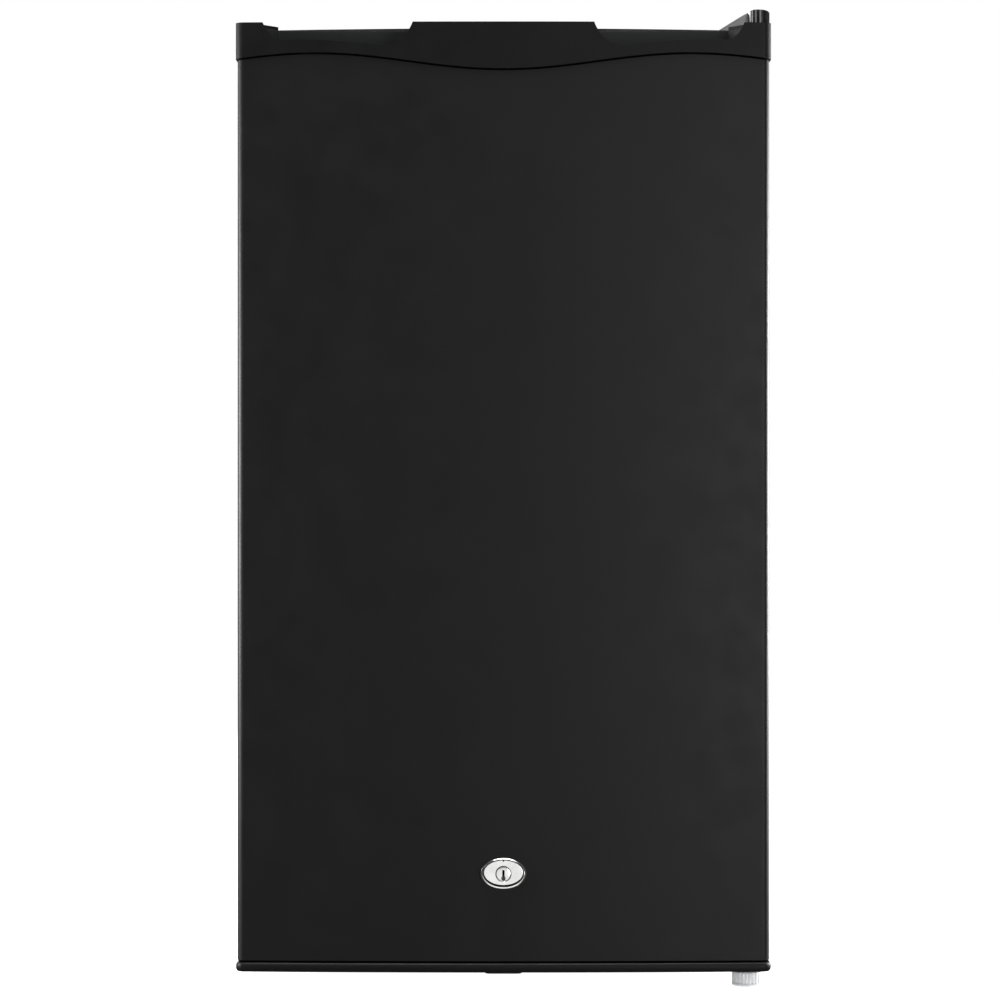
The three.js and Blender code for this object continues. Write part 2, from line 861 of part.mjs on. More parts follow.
function makeDoorFoam() {
  const inset = lapInset;
  const bottom = bottomLapTop + gap;
  const lapTop = doorTop - topCapReach - gap;
  const main = doorPrism(inset, doorFill, bottom, lapTop);
  const upper = block(
    [8 + gap - doorHalf, hingeX - bushRadius - 4 - gap],
    [doorFront + 11 + gap, doorFill - 2.5 - gap],
    [lapTop - 1, doorTop - scoopFloor - 3 - gap],
  );
  const middle = block(
    [5 + gap - scoopInner, scoopInner - 5 - gap],
    [doorFront + 11 + gap, doorFill - 2.5 - gap],
    [lapTop - 1, doorTop - 4 - gap],
  );
  const lockBore = rod("y", 0, lockZ, lockHoleRadius, front, armY[0]);
  const boltRoom = block(
    [-boltThrow - 4, boltThrow + 8],
    [armY[0] - gap, cabinetFront],
    [0, lockZ + 12],
  );
  const postRoom = block(
    [hingeX - bushRadius - 4 - gap, doorHalf],
    [doorFront + 14 - gap, cabinetFront],
    [0, bottomLapTop + 5 + gap],
  );
  return cut(join(main, upper, middle), lockBore, boltRoom, postRoom);
}

const dikeHalf = cavityHalf - dikeInset;
const dikeBottom = cavityFloor + dikeMargin;
const dikeTop = cavityRoof - dikeTopMargin;
const rackHalf = dikeHalf - dikeWide - 0.5;
const bottleFloor = dikeBottom + dikeWide + gap;

function makeDoorLiner() {
  const y = [doorBack - doorLinerSheet, doorBack];
  const plateHalf = doorHalf - 5;
  const plate = block([-plateHalf, plateHalf], y, [doorBottom + 4, doorTop - 4]);
  const ring = cut(
    block([-dikeHalf, dikeHalf], [y[0] + 1, doorBack + dikeDepth], [dikeBottom, dikeTop]),
    block(
      [dikeWide - dikeHalf, dikeHalf - dikeWide],
      [y[0], cabinetFront + dikeDepth],
      [dikeBottom + dikeWide, dikeTop - dikeWide],
    ),
  );
  const hooks = [-1, 1].flatMap((side) =>
    rackHeights.map((height) => {
      const x = [dikeHalf - dikeWide - 6, dikeHalf - dikeWide + 1];
      const spread = side > 0 ? x : [-x[1], -x[0]];
      const top = wrapBottom + height - gap;
      return block(spread, [doorBack - 1, doorBack + dikeDepth - 4], [top - 6, top]);
    }),
  );
  return join(plate, ring, hooks);
}

function makeGasket() {
  const outer = roundedRectangle(
    [-flangeHalf + 0.5, flangeHalf - 0.5],
    [flangeBottom, flangeTop],
    8,
  );
  outer.holes.push(
    roundedRectangle(
      [-flangeHalf + gasketWide, flangeHalf - gasketWide],
      [flangeBottom + gasketWide, flangeTop - gasketWide],
      4,
    ),
  );
  return prism(outer, "y", doorBack + gap, cabinetFront - gap, 4);
}

function rack(floor, depth, guard) {
  const y = [doorBack + gap, doorBack + gap + depth];
  const outside = block([-rackHalf, rackHalf], y, [floor, floor + guard]);
  const inside = block(
    [rackWall - rackHalf, rackHalf - rackWall],
    [y[0] + rackWall, y[1] - rackWall],
    [floor + rackWall, floor + guard + through],
  );
  return cut(outside, inside);
}

// ---------------------------------------------------------------------- lock

const lockFlangeBack = skinFront - gap;

function makeLockHousing() {
  const faceY = front + 0.4;
  const ellipse = new THREE.Shape();
  ellipse.absellipse(0, lockZ, lockWide / 2 - 1.5, lockTall / 2 - 1.5, 0, 2 * Math.PI, false);
  const depth = lockFlangeBack - faceY - 1.5;
  const flange = new THREE.ExtrudeGeometry(ellipse, {
    depth,
    bevelEnabled: true,
    bevelThickness: 1.5,
    bevelSize: 1.5,
    bevelSegments: 2,
    curveSegments: 16,
  });
  place(flange, "y", 0, lockFlangeBack);
  const barrel = rod("y", 0, lockZ, lockBarrel, lockFlangeBack - 1, armY[0] - gap, 24);
  const bore = rod("y", 0, lockZ, lockPlug + gap, front - through, cabinetFront, 24);
  const behind = block([-lockWide, lockWide], [lockFlangeBack, armY[0]], [lockZ - 40, lockZ + 40]);
  return cut(join(cut(flange, behind), barrel), bore);
}

const crankRadius = boltThrow;
const crankPin = 1.5;

function makeLockPlug() {
  const body = rod("y", 0, lockZ, lockPlug, front, armY[0] + 1, 24);
  const arm = block([-4, crankRadius + 3.5], armY, [lockZ - 3.5, lockZ + 3.5]);
  const pin = rod("y", crankRadius, lockZ, crankPin, armY[0] + 1, boltY[1] - 0.5, 12);
  const keyway = block([-1.1, 1.1], [front - through, front + 14], [lockZ - 4.5, lockZ + 4.5]);
  return cut(join(body, arm, pin), keyway);
}

function makeLockBolt() {
  // A crank turns the plug's angle into a sine, so the slot is taller than the
  // pin by the most that the sine runs ahead of the bolt's even travel.
  const lead = 0.2105 * boltThrow;
  const head = block([-5, crankRadius + 5], boltY, [lockZ - 9, lockZ + 5.5]);
  const slot = block(
    [-3, crankRadius + 3],
    [boltY[0] - 1, boltY[1] + 1],
    [lockZ - crankPin - lead - 0.4, lockZ + crankPin + 0.4],
  );
  const half = boltWide / 2;
  const stem = block([-half, half], boltY, [doorBottom - bossDrop + 0.4, lockZ - 8.5]);
  return cut(join(head, stem), slot);
}

function makeStrike() {
  const top = doorBottom - bossDrop - 1;
  const thick = 1.4;
  const rear = cabinetFront + 22;
  const profile = polygon([
    [boltY[0] - 7, top - thick],
    [cabinetFront + 5, top - thick],
    [cabinetFront + 5, lowerPlateTop - thick],
    [rear, lowerPlateTop - thick],
    [rear, lowerPlateTop],
    [cabinetFront + 5 - thick, lowerPlateTop],
    [cabinetFront + 5 - thick, top],
    [boltY[0] - 7, top],
  ]);
  const slot = block(
    [-boltWide / 2 - 1, boltWide / 2 + 1],
    [boltY[0] - 1, boltY[1] + 1],
    [0, doorBottom],
  );
  return cut(prism(profile, "x", -12, 12), slot);
}

// ---------------------------------------------------------------------- feet

function foot(spot) {
  const flutes = new THREE.Shape();
  const steps = footFlutes * 2;
  for (let i = 0; i < steps; i += 1) {
    const angle = (2 * Math.PI * i) / steps;
    const radius = footRadius - 0.6 + 0.6 * Math.cos(footFlutes * angle);
    const point = [spot.x + radius * Math.cos(angle), spot.y + radius * Math.sin(angle)];
    if (i === 0) flutes.moveTo(...point);
    else flutes.lineTo(...point);
  }
  const rim = turned(
    [
      [0, 0],
      [footRadius - 1.5, 0],
      [footRadius, 1.5],
      [footRadius, 3],
      [0, 3],
    ],
    spot.x,
    spot.y,
    32,
  );
  return join(
    rim,
    prism(flutes, "z", 2.5, footKnob),
    rod("z", spot.x, spot.y, footStud, footKnob - 0.5, studTop, 16),
  );
}

function rearFoot(side) {
  const top = wrapBottom - gap;
  return turned(
    [
      [0, 0],
      [11, 0],
      [13, 2],
      [15, top],
      [0, top],
    ],
    side * (doorHalf - rearFootSide),
    cabinetBack - rearFootInset,
    24,
  );
}

// -------------------------------------------------------------------- inside

function shelf(bottom, y) {
  const half = cavityHalf - 0.7;
  return prism(roundedRectangle([-half, half], y, 5), "z", bottom, bottom + shelfGlass, 3);
}

function makeEvaporator() {
  const y = [freezerFront + gap, cavityBack - 3];
  const outside = block([-freezerHalf, freezerHalf], y, [freezerBottom, freezerTop]);
  const inside = block(
    [freezerSheet - freezerHalf, freezerHalf - freezerSheet],
    [y[0] - through, y[1] - freezerSheet],
    [freezerBottom + freezerSheet, freezerTop - freezerSheet],
  );
  return cut(outside, inside);
}

const frameHalf = cavityHalf - gap;
const frameY = [freezerFront - 8, freezerFront];
const frameBottom = freezerBottom - 4;
const frameTop = cavityRoof - gap;
const railTop = frameBottom - 6.3;
const railBottom = railTop - 3.7;
const trayTop = frameBottom - 3.5;
const rimHalf = cavityHalf - 10.3;
const rimTop = railTop + gap + trayWall;
const flapHinge = { x: cavityHalf - 14, y: frameY[0] - 5.2 };
const flapZ = [freezerBottom - 2, freezerTop + 4];
const lugHoleRadius = 1.8 + gap;

function makeFreezerFrame() {
  const ring = cut(
    block([-frameHalf, frameHalf], frameY, [frameBottom, frameTop]),
    block(
      [4 - freezerHalf, freezerHalf - 4],
      [frameY[0] - through, frameY[1] + through],
      [freezerBottom + 4, freezerTop - 4],
    ),
  );
  const sides = [-1, 1].flatMap((side) => {
    const leg = [cavityHalf - 10, frameHalf];
    const rail = [cavityHalf - 16, frameHalf];
    const face = (x) => (side > 0 ? x : [-x[1], -x[0]]);
    return [
      block(face(leg), frameY, [railBottom, frameBottom + 1]),
      block(face(rail), [frameY[0], cavityBack - 13], [railBottom, railTop]),
    ];
  });
  const lugs = [
    [frameBottom - 1.5, flapZ[0] - gap],
    [flapZ[1] + gap, frameTop],
  ].map((z) =>
    cut(
      block([flapHinge.x - 4, flapHinge.x + 4], [flapHinge.y - 4, frameY[0] + 1], z),
      rod("z", flapHinge.x, flapHinge.y, lugHoleRadius, z[0] - 1, z[1] + 1, 12),
    ),
  );
  return join(ring, sides, lugs);
}

function makeFlap() {
  const y = [flapHinge.y - 2.8, flapHinge.y - 2.8 + flapThick];
  const plate = block([12 - cavityHalf, flapHinge.x + 3], y, flapZ);
  const dish = block(
    [20 - cavityHalf, flapHinge.x - 12],
    [y[1] - 3.5, y[1] + through],
    [flapZ[0] + 8, flapZ[1] - 8],
  );
  const pintles = [
    [flapZ[0] - 3, flapZ[0] + 1],
    [flapZ[1] - 1, flapZ[1] + 2.5],
  ].map((z) => rod("z", flapHinge.x, flapHinge.y, 1.8, z[0], z[1], 12));
  return join(cut(plate, dish), pintles);
}

function makeDripTray() {
  const half = cavityHalf - 18;
  const y = [frameY[0] + 1, cavityBack - 33];
  const z = [trayTop - trayTall, trayTop];
  const outside = block([-half, half], y, z);
  const rim = block([-rimHalf, rimHalf], y, [rimTop - trayWall, rimTop]);
  const inside = block(
    [trayWall - half, half - trayWall],
    [y[0] + trayWall, y[1] - trayWall],
    [z[0] + trayWall, z[1] + through],
  );
  return cut(join(outside, rim), inside);
}

const crisperFront = insideFront + 13;

function makeCrisper() {
  const half = cavityHalf - 10;
  const y = [crisperFront, stepFront - 9];
  const z = [cavityFloor + gap, cavityFloor + crisperTall];
  const outside = block([-half, half], y, z);
  const inside = block(
    [crisperWall - half, half - crisperWall],
    [y[0] + crisperWall, y[1] - crisperWall],
    [z[0] + crisperWall, z[1] + through],
  );
  return cut(outside, inside);
}

const thermostat = {
  y: [insideFront + 45, insideFront + 135],
  z: [wrapBottom + 555, wrapBottom + 620],
  thick: 28,
};

function makeThermostatHousing() {
  const x = [cavityHalf - thermostat.thick, cavityHalf - gap];
  const outline = roundedRectangle(thermostat.y, thermostat.z, 8);
  const box = prism(outline, "x", x[0], x[1], 4);
  return cut(box, rod("x", knobCentre.y, knobCentre.z, 3 + gap, x[0] - 1, x[0] + 12, 12));
}

const knobCentre = {
  y: (thermostat.y[0] + thermostat.y[1]) / 2,
  z: (thermostat.z[0] + thermostat.z[1]) / 2,
};

function makeKnob() {
  const face = cavityHalf - thermostat.thick - gap;
  const disc = rod("x", knobCentre.y, knobCentre.z, knobRadius, face - 5, face, 28);
  const grip = block(
    [face - 12, face - 4],
    [knobCentre.y - 3, knobCentre.y + 3],
    [knobCentre.z - knobRadius + 2, knobCentre.z + knobRadius - 2],
  );
  const stem = rod("x", knobCentre.y, knobCentre.z, 3, face - 1, face + 10, 12);
  return join(disc, grip, stem);
}

// ------------------------------------------------------------ compressor bay

const gland = { x: -180, z: wrapBottom + 22, radius: 8 };
const compressor = {
  x: 60,
  y: bayFront + 64,
  radius: 62,
  stretch: 1.14,
  squeeze: 0.86,
  bottom: panTop + 12.3,
  height: 116,
};
const plateTop = compressor.bottom - gap;
const platePad = { x: 78, y: 46, sheet: 2.5 };

function makeCompressor(grow = 0) {
  const { radius, height } = compressor;
  const profile = [
    [0, 0 - grow],
    [radius * 0.72, 0 - grow],
    [radius * 0.92 + grow, height * 0.1],
    [radius + grow, height * 0.28],
    [radius + grow, height * 0.55],
    [radius * 0.94 + grow, height * 0.76],
    [radius * 0.72, height * 0.92 + grow],
    [radius * 0.4, height * 0.985 + grow],
    [0, height + grow],
  ];
  const geometry = turned(profile, 0, 0, 28);
  geometry.scale(compressor.stretch, compressor.squeeze, 1);
  return geometry.translate(compressor.x, compressor.y, compressor.bottom);
}

const grommets = [
  [-1, -1],
  [1, -1],
  [-1, 1],
  [1, 1],
].map(([sideX, sideY]) => ({
  x: compressor.x + sideX * (platePad.x - 10),
  y: compressor.y + sideY * (platePad.y - 10),
}));

function makeCompressorPlate() {
  const outline = roundedRectangle(
    [compressor.x - platePad.x, compressor.x + platePad.x],
    [compressor.y - platePad.y, compressor.y + platePad.y],
    8,
  );
  return prism(outline, "z", plateTop - platePad.sheet, plateTop, 4);
}

function grommet(point) {
  const z = [panTop + gap, plateTop - platePad.sheet - gap];
  const waist = (z[0] + z[1]) / 2;
  return turned(
    [
      [0, z[0]],
      [8, z[0]],
      [8, z[0] + 2.5],
      [6.5, waist],
      [8, z[1] - 2.5],
      [8, z[1]],
      [0, z[1]],
    ],
    point.x,
    point.y,
    16,
  );
}

function makeTerminalCover() {
  const left = compressor.x - compressor.radius * compressor.stretch - 26;
  const box = block(
    [left, compressor.x - 50],
    [compressor.y - 26, compressor.y + 26],
    [compressor.bottom + 28, compressor.bottom + 84],
  );
  return cut(box, makeCompressor(gap));
}

const condensate = {
  x: [compressor.x - 60, compressor.x + 60],
  y: [compressor.y - 42, compressor.y + 40],
  bottom: compressor.bottom + compressor.height + gap,
  height: 20,
};

function makeCondensateTray() {
  const { x, y, bottom, height } = condensate;
  const outside = block(x, y, [bottom, bottom + height]);
  const inside = block(
    [x[0] + 2, x[1] - 2],
    [y[0] + 2, y[1] - 2],
    [bottom + 2, bottom + height + through],
  );
  return cut(outside, inside);
}

function makeDrainTube() {
  const outline = new THREE.Shape();
  outline.absarc(drain.x, drain.y, drain.radius, 0, 2 * Math.PI, false);
  const bore = new THREE.Path();
  bore.absarc(drain.x, drain.y, drain.radius - 1.5, 0, 2 * Math.PI, false);
  outline.holes.push(bore);
  const z = [condensate.bottom + condensate.height - 6, stepTop - linerSheet - gap];
  return prism(outline, "z", z[0], z[1], 8);
}

const drier = { x: -150, y: cabinetBack - 35, radius: 8, z: [wrapBottom + 80, wrapBottom + 150] };

function makeDrier() {
  const { radius, z } = drier;
  return turned(
    [
      [0, z[0]],
      [3, z[0]],
      [radius, z[0] + 9],
      [radius, z[1] - 9],
      [3, z[1]],
      [0, z[1]],
    ],
    drier.x,
    drier.y,
    16,
  );
}

const coilHalf = cabinetHalf - 48;
const coilTop = cavityRoof - 24;

// From the compressor up to the top run, back and forth down the back, and in
// again to the filter drier.
function makeCoil() {
  const riser = coilHalf + 20;
  const corners = [
    [compressor.x + 50, compressor.y, compressor.bottom + 50],
    [compressor.x + 105, compressor.y, compressor.bottom + 50],
    [compressor.x + 105, compressor.y, compressor.bottom + 120],
    [riser, compressor.y, compressor.bottom + 120],
    [riser, coilY, compressor.bottom + 120],
    [riser, coilY, coilTop],
  ];
  for (let run = 0; run < coilRuns; run += 1) {
    const z = coilTop - run * coilPitch;
    const leftward = run % 2 === 0;
    const last = run === coilRuns - 1;
    const end = last ? drier.x : leftward ? -coilHalf : coilHalf;
    if (run > 0) corners.push([leftward ? coilHalf : -coilHalf, coilY, z]);
    corners.push([end, coilY, z]);
  }
  const dropZ = drier.z[1] + 26;
  corners.push([drier.x, coilY, dropZ], [drier.x, drier.y, dropZ]);
  corners.push([drier.x, drier.y, drier.z[1] + gap]);
  return cut(bentTube(corners, coilRadius, tubeBend), makeCompressor(gap));
}

function makeSuction() {
  const high = compressor.bottom + 132;
  const outside = cabinetBack + tubeBend + slip;
  const corners = [
    [compressor.x - 40, compressor.y - 34, compressor.bottom + 40],
    [suction.x, compressor.y - 34, compressor.bottom + 40],
    [suction.x, compressor.y - 34, high],
    [suction.x, outside, high],
    [suction.x, outside, suction.z],
    [suction.x, cavityBack - 3 + gap, suction.z],
  ];
  return cut(bentTube(corners, suctionRadius, tubeBend), makeCompressor(gap));
}

function makeCoilBracket(side) {
  const x = side * (coilHalf - 35);
  const wide = [x - 4, x + 4];
  const z = [coilTop - (coilRuns - 1) * coilPitch - 14, coilTop + 14];
  const face = coilY - coilRadius - gap;
  const seat = cabinetBack + gap;
  return join(
    block(wide, [face - 2, face], z),
    block(wide, [seat, face], [z[0], z[0] + 12]),
    block(wide, [seat, face], [z[1] - 12, z[1]]),
  );
}

function makeGland() {
  const profile = [
    [0, tabY[0] - 4],
    [gland.radius + 2, tabY[0] - 4],
    [gland.radius + 2, tabY[0] - gap],
    [gland.radius, tabY[0] - gap],
    [gland.radius, tabY[1] + gap],
    [gland.radius + 2.5, tabY[1] + gap],
    [gland.radius + 1, tabY[1] + 4],
    [0, tabY[1] + 4],
  ];
  const geometry = turned(profile, 0, 0, 20);
  return geometry.rotateX(-Math.PI / 2).translate(gland.x, 0, gland.z);
}

// ------------------------------------------------------------------ assembly

add("cabinet_wrap", makeWrap(), "wrap");
add("back_panel", makeBackPanel(), "wrap");
add("compressor_bay_panel", makeBayPanel(), "zinc");
add("base_pan", makeBasePan(), "zinc");
add("inner_liner", makeLiner(), "white");
add("insulation_foam", makeFoam(), "foam");
add("worktop", makeWorktop(), "cap");

add("upper_hinge_bracket", makeUpperBracket(), "steel");
add("upper_hinge_pin", makeUpperPin(), "steel");
upperScrews.forEach((point, i) => {
  add(`upper_hinge_screw_${i + 1}`, screw(point, upperBase + bracketSheet + gap, false), "steel");
});
add("hinge_cover", makeHingeCover(), "glossBlack");
add("lower_hinge_bracket", makeLowerBracket(), "steel");
add("lower_hinge_pin", makeLowerPin(), "steel");
lowerScrews.forEach((point, i) => {
  add(`lower_hinge_screw_${i + 1}`, screw(point, lowerScrewHead, true), "steel");
});
add("lock_strike", makeStrike(), "steel");
add("rear_foot_left", rearFoot(-1), "rubber");
add("rear_foot_right", rearFoot(1), "rubber");

add("evaporator_box", makeEvaporator(), "aluminium");
add("freezer_frame", makeFreezerFrame(), "white");
add("thermostat_housing", makeThermostatHousing(), "white");
const shelfY = [insideFront, cavityBack - 4];
add("lower_shelf", shelf(wrapBottom + shelfHeights[0], shelfY), "clear");
add("upper_shelf", shelf(wrapBottom + shelfHeights[1], shelfY), "clear");
add("crisper_cover", shelf(coverZ + gap, [crisperFront, cavityBack - 4]), "clear");

add("compressor", makeCompressor(), "blackSteel");
add("compressor_plate", makeCompressorPlate(), "blackSteel");
grommets.forEach((point, i) => add(`compressor_grommet_${i + 1}`, grommet(point), "rubber"));
add("terminal_cover", makeTerminalCover(), "cap");
add("condensate_tray", makeCondensateTray(), "cap");
add("filter_drier", makeDrier(), "copper");
add("condenser_coil", makeCoil(), "blackSteel");
add("condenser_bracket_left", makeCoilBracket(-1), "blackSteel");
add("condenser_bracket_right", makeCoilBracket(1), "blackSteel");
add("suction_tube", makeSuction(), "copper");
add("drain_tube", makeDrainTube(), "cap");
add("cord_gland", makeGland(), "rubber");

add("door_skin", makeSkin(), "skin");
add("door_top_cap", makeTopCap(), "cap");
add("door_bottom_cap", makeBottomCap(), "cap");
add("door_foam", makeDoorFoam(), "foam");
add("door_liner", makeDoorLiner(), "white");
add("door_gasket", makeGasket(), "rubber");
rackHeights.forEach((height, i) => {
  const name = ["middle_rack", "upper_rack"][i];
  add(name, rack(wrapBottom + height, rackDepth, rackGuard), "clear");
});
add("bottle_rack", rack(bottleFloor, bottleRackDepth, bottleGuard), "clear");
add("upper_hinge_bush", bush(doorTop - 0.2 - bushLength, doorTop - 0.2), "white");
add("lower_hinge_bush", bush(lowerPlateTop + slip, bottomLapTop - 1), "white");
add("lock_housing", makeLockHousing(), "nickel");

add("lock_plug", makeLockPlug(), "nickel");
add("lock_bolt", makeLockBolt(), "steel");
add("freezer_flap", makeFlap(), "white");
add("drip_tray", makeDripTray(), "clear");
add("crisper_drawer", makeCrisper(), "clear");
add("thermostat_knob", makeKnob(), "white");
add("front_foot_left", foot(leftFoot), "greyFoot");
add("front_foot_right", foot(rightFoot), "greyFoot");

export default group;
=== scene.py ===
"""A compact refrigerator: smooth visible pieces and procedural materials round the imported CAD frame."""

import math

import bmesh
import bpy
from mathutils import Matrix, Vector


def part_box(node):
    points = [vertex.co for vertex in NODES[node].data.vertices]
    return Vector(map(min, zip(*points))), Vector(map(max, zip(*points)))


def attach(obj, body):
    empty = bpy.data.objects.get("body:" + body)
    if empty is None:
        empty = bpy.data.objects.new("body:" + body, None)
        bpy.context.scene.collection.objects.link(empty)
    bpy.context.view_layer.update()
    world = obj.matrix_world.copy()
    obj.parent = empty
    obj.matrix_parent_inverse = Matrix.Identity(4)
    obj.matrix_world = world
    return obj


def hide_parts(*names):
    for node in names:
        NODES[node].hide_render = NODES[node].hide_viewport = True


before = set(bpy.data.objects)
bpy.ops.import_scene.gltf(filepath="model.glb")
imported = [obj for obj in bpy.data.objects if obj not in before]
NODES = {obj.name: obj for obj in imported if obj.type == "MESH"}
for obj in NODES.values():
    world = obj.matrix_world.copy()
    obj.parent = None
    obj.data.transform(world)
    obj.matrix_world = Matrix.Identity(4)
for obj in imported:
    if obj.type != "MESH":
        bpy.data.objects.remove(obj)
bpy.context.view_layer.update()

MM = 0.001
COLLECTION = bpy.context.scene.collection


# ------------------------------------------------------------------ materials


class Shader:
    """A Principled material with short ways to add the nodes that vary it."""

    def __init__(self, name, color, roughness, **inputs):
        self.material = bpy.data.materials.new(name)
        self.material.use_nodes = True
        self.tree = self.material.node_tree
        self.principled = self.tree.nodes["Principled BSDF"]
        self.principled.inputs["Base Color"].default_value = (*color, 1)
        self.principled.inputs["Roughness"].default_value = roughness
        for key, value in inputs.items():
            self.principled.inputs[key.replace("_", " ").title().replace("Ior", "IOR")].default_value = value
        self.place = self.node("ShaderNodeTexCoord").outputs["Object"]
        self.color = color
        self.bump = None

    def node(self, kind, **settings):
        made = self.tree.nodes.new(kind)
        for key, value in settings.items():
            setattr(made, key, value)
        return made

    def link(self, source, target):
        self.tree.links.new(source, target)

    def stretched(self, scale):
        mapping = self.node("ShaderNodeMapping")
        mapping.inputs["Scale"].default_value = scale
        self.link(self.place, mapping.inputs["Vector"])
        return mapping.outputs["Vector"]

    def noise(self, scale, detail=3.0, stretch=None):
        noise = self.node("ShaderNodeTexNoise")
        noise.inputs["Scale"].default_value = scale
        noise.inputs["Detail"].default_value = detail
        self.link(self.stretched(stretch) if stretch else self.place, noise.inputs["Vector"])
        return noise.outputs["Fac"]

    def cells(self, scale, feature="F1", stretch=None):
        cells = self.node("ShaderNodeTexVoronoi", feature=feature)
        cells.inputs["Scale"].default_value = scale
        self.link(self.stretched(stretch) if stretch else self.place, cells.inputs["Vector"])
        return cells.outputs["Distance"]

    def ramp(self, factor, low, high, start=0.3, end=0.7):
        """Maps a factor to values from low to high."""
        mapped = self.node("ShaderNodeMapRange")
        mapped.inputs["From Min"].default_value = start
        mapped.inputs["From Max"].default_value = end
        mapped.inputs["To Min"].default_value = low
        mapped.inputs["To Max"].default_value = high
        self.link(factor, mapped.inputs["Value"])
        return mapped.outputs["Result"]

    def tint(self, factor, low, high, start=0.3, end=0.7):
        """Colours the base between two strengths of its own colour."""
        ramp = self.node("ShaderNodeValToRGB")
        ramp.color_ramp.elements[0].position = start
        ramp.color_ramp.elements[1].position = end
        ramp.color_ramp.elements[0].color = (*[c * low for c in self.color], 1)
        ramp.color_ramp.elements[1].color = (*[min(c * high, 1) for c in self.color], 1)
        self.link(factor, ramp.inputs["Fac"])
        self.link(ramp.outputs["Color"], self.principled.inputs["Base Color"])
        return self

    def rough(self, factor, low, high, start=0.3, end=0.7):
        self.link(self.ramp(factor, low, high, start, end), self.principled.inputs["Roughness"])
        return self

    def relief(self, height, strength, distance):
        """Adds a bump; a second one stacks on the first."""
        bump = self.node("ShaderNodeBump")
        bump.inputs["Strength"].default_value = strength
        bump.inputs["Distance"].default_value = distance
        self.link(height, bump.inputs["Height"])
        if self.bump:
            self.link(self.bump, bump.inputs["Normal"])
        self.bump = bump.outputs["Normal"]
        self.link(self.bump, self.principled.inputs["Normal"])
        return self

    def done(self):
        return self.material


def painted_steel(name, color, roughness, waviness=0.25):
    """Fine powder coat over sheet steel, with the sheet's long soft waves."""
    shader = Shader(name, color, roughness, specular_ior_level=0.5)
    shader.tint(shader.noise(9, 2), 0.93, 1.07)
    shader.rough(shader.noise(38, 4), roughness - 0.03, roughness + 0.05)
    shader.relief(shader.noise(4, 1), waviness, 0.4 * MM)
    shader.relief(shader.noise(2400, 2), 0.16, 0.05 * MM)
    return shader.done()


def moulded_plastic(name, color, roughness, grain=1700, depth=0.25, **inputs):
    """Moulded plastic with a spark-eroded grain and faint flow marks."""
    shader = Shader(name, color, roughness, **inputs)
    shader.tint(shader.noise(14, 3), 0.94, 1.06)
    shader.rough(shader.noise(60, 4), roughness - 0.03, roughness + 0.06)
    shader.relief(shader.cells(grain), depth, 0.06 * MM)
    return shader.done()


def gloss_plastic(name, color, roughness):
    shader = Shader(name, color, roughness, coat_weight=0.6, coat_roughness=0.04)
    shader.tint(shader.noise(20, 2), 0.9, 1.1)
    shader.rough(shader.noise(90, 5), roughness - 0.03, roughness + 0.08)
    shader.relief(shader.noise(55, 2), 0.1, 0.08 * MM)
    return shader.done()


def plated_metal(name, color, roughness, lay=None):
    """Metal with a satin lay: fine scratches drawn out along one axis."""
    shader = Shader(name, color, roughness, metallic=1.0)
    stretch = lay or (1, 1, 1)
    shader.tint(shader.noise(70, 3), 0.9, 1.05)
    shader.rough(shader.noise(1500, 3, stretch), roughness * 0.75, roughness * 1.4)
    shader.relief(shader.noise(1900, 2, stretch), 0.12, 0.03 * MM)
    return shader.done()


def zinc_plate(name, color, roughness):
    """Galvanised sheet: large flat crystals of slightly different greys."""
    shader = Shader(name, color, roughness, metallic=0.95)
    shader.tint(shader.cells(130), 0.72, 1.12, 0.1, 0.8)
    shader.rough(shader.cells(90, stretch=(1, 1.6, 0.8)), roughness - 0.1, roughness + 0.14, 0.1, 0.9)
    shader.relief(shader.noise(600, 3), 0.12, 0.05 * MM)
    return shader.done()


def soft_rubber(name, color, roughness=0.72):
    shader = Shader(name, color, roughness, specular_ior_level=0.35)
    shader.tint(shader.noise(30, 4), 0.93, 1.06)
    shader.rough(shader.noise(140, 4), roughness - 0.08, roughness + 0.1)
    shader.relief(shader.noise(1300, 3), 0.3, 0.07 * MM)
    return shader.done()


def clear_plastic(name, color, roughness=0.06):
    """Clear polystyrene, faintly blue at its edges, with wipe marks."""
    shader = Shader(name, color, roughness, transmission_weight=0.9, ior=1.55)
    shader.rough(shader.noise(24, 5), roughness, roughness + 0.12)
    shader.relief(shader.noise(35, 2), 0.08, 0.1 * MM)
    return shader.done()


def foam_material(name, color):
    shader = Shader(name, color, 0.95, specular_ior_level=0.1)
    shader.tint(shader.noise(18, 5), 0.75, 1.1)
    shader.relief(shader.cells(520), 0.7, 0.4 * MM)
    return shader.done()


PANEL_PAINT = painted_steel("door_paint", (0.0036, 0.0036, 0.0037), 0.47)
WRAP_PAINT = painted_steel("cabinet_paint", (0.010, 0.010, 0.0104), 0.45, 0.04)
CAP_PLASTIC = moulded_plastic("cap_plastic", (0.003, 0.003, 0.0031), 0.47, specular_ior_level=0.36)
WORKTOP_PLASTIC = moulded_plastic("worktop_plastic", (0.0095, 0.0095, 0.0098), 0.42, 900, 0.4)
# A lighter, faintly green copy of the cap plastic: painted light for the pockets' back walls, which catch
# light from above.
SCOOP_PAINTED_LIGHT = moulded_plastic("scoop_painted_light", (0.018, 0.0195, 0.019), 0.45)
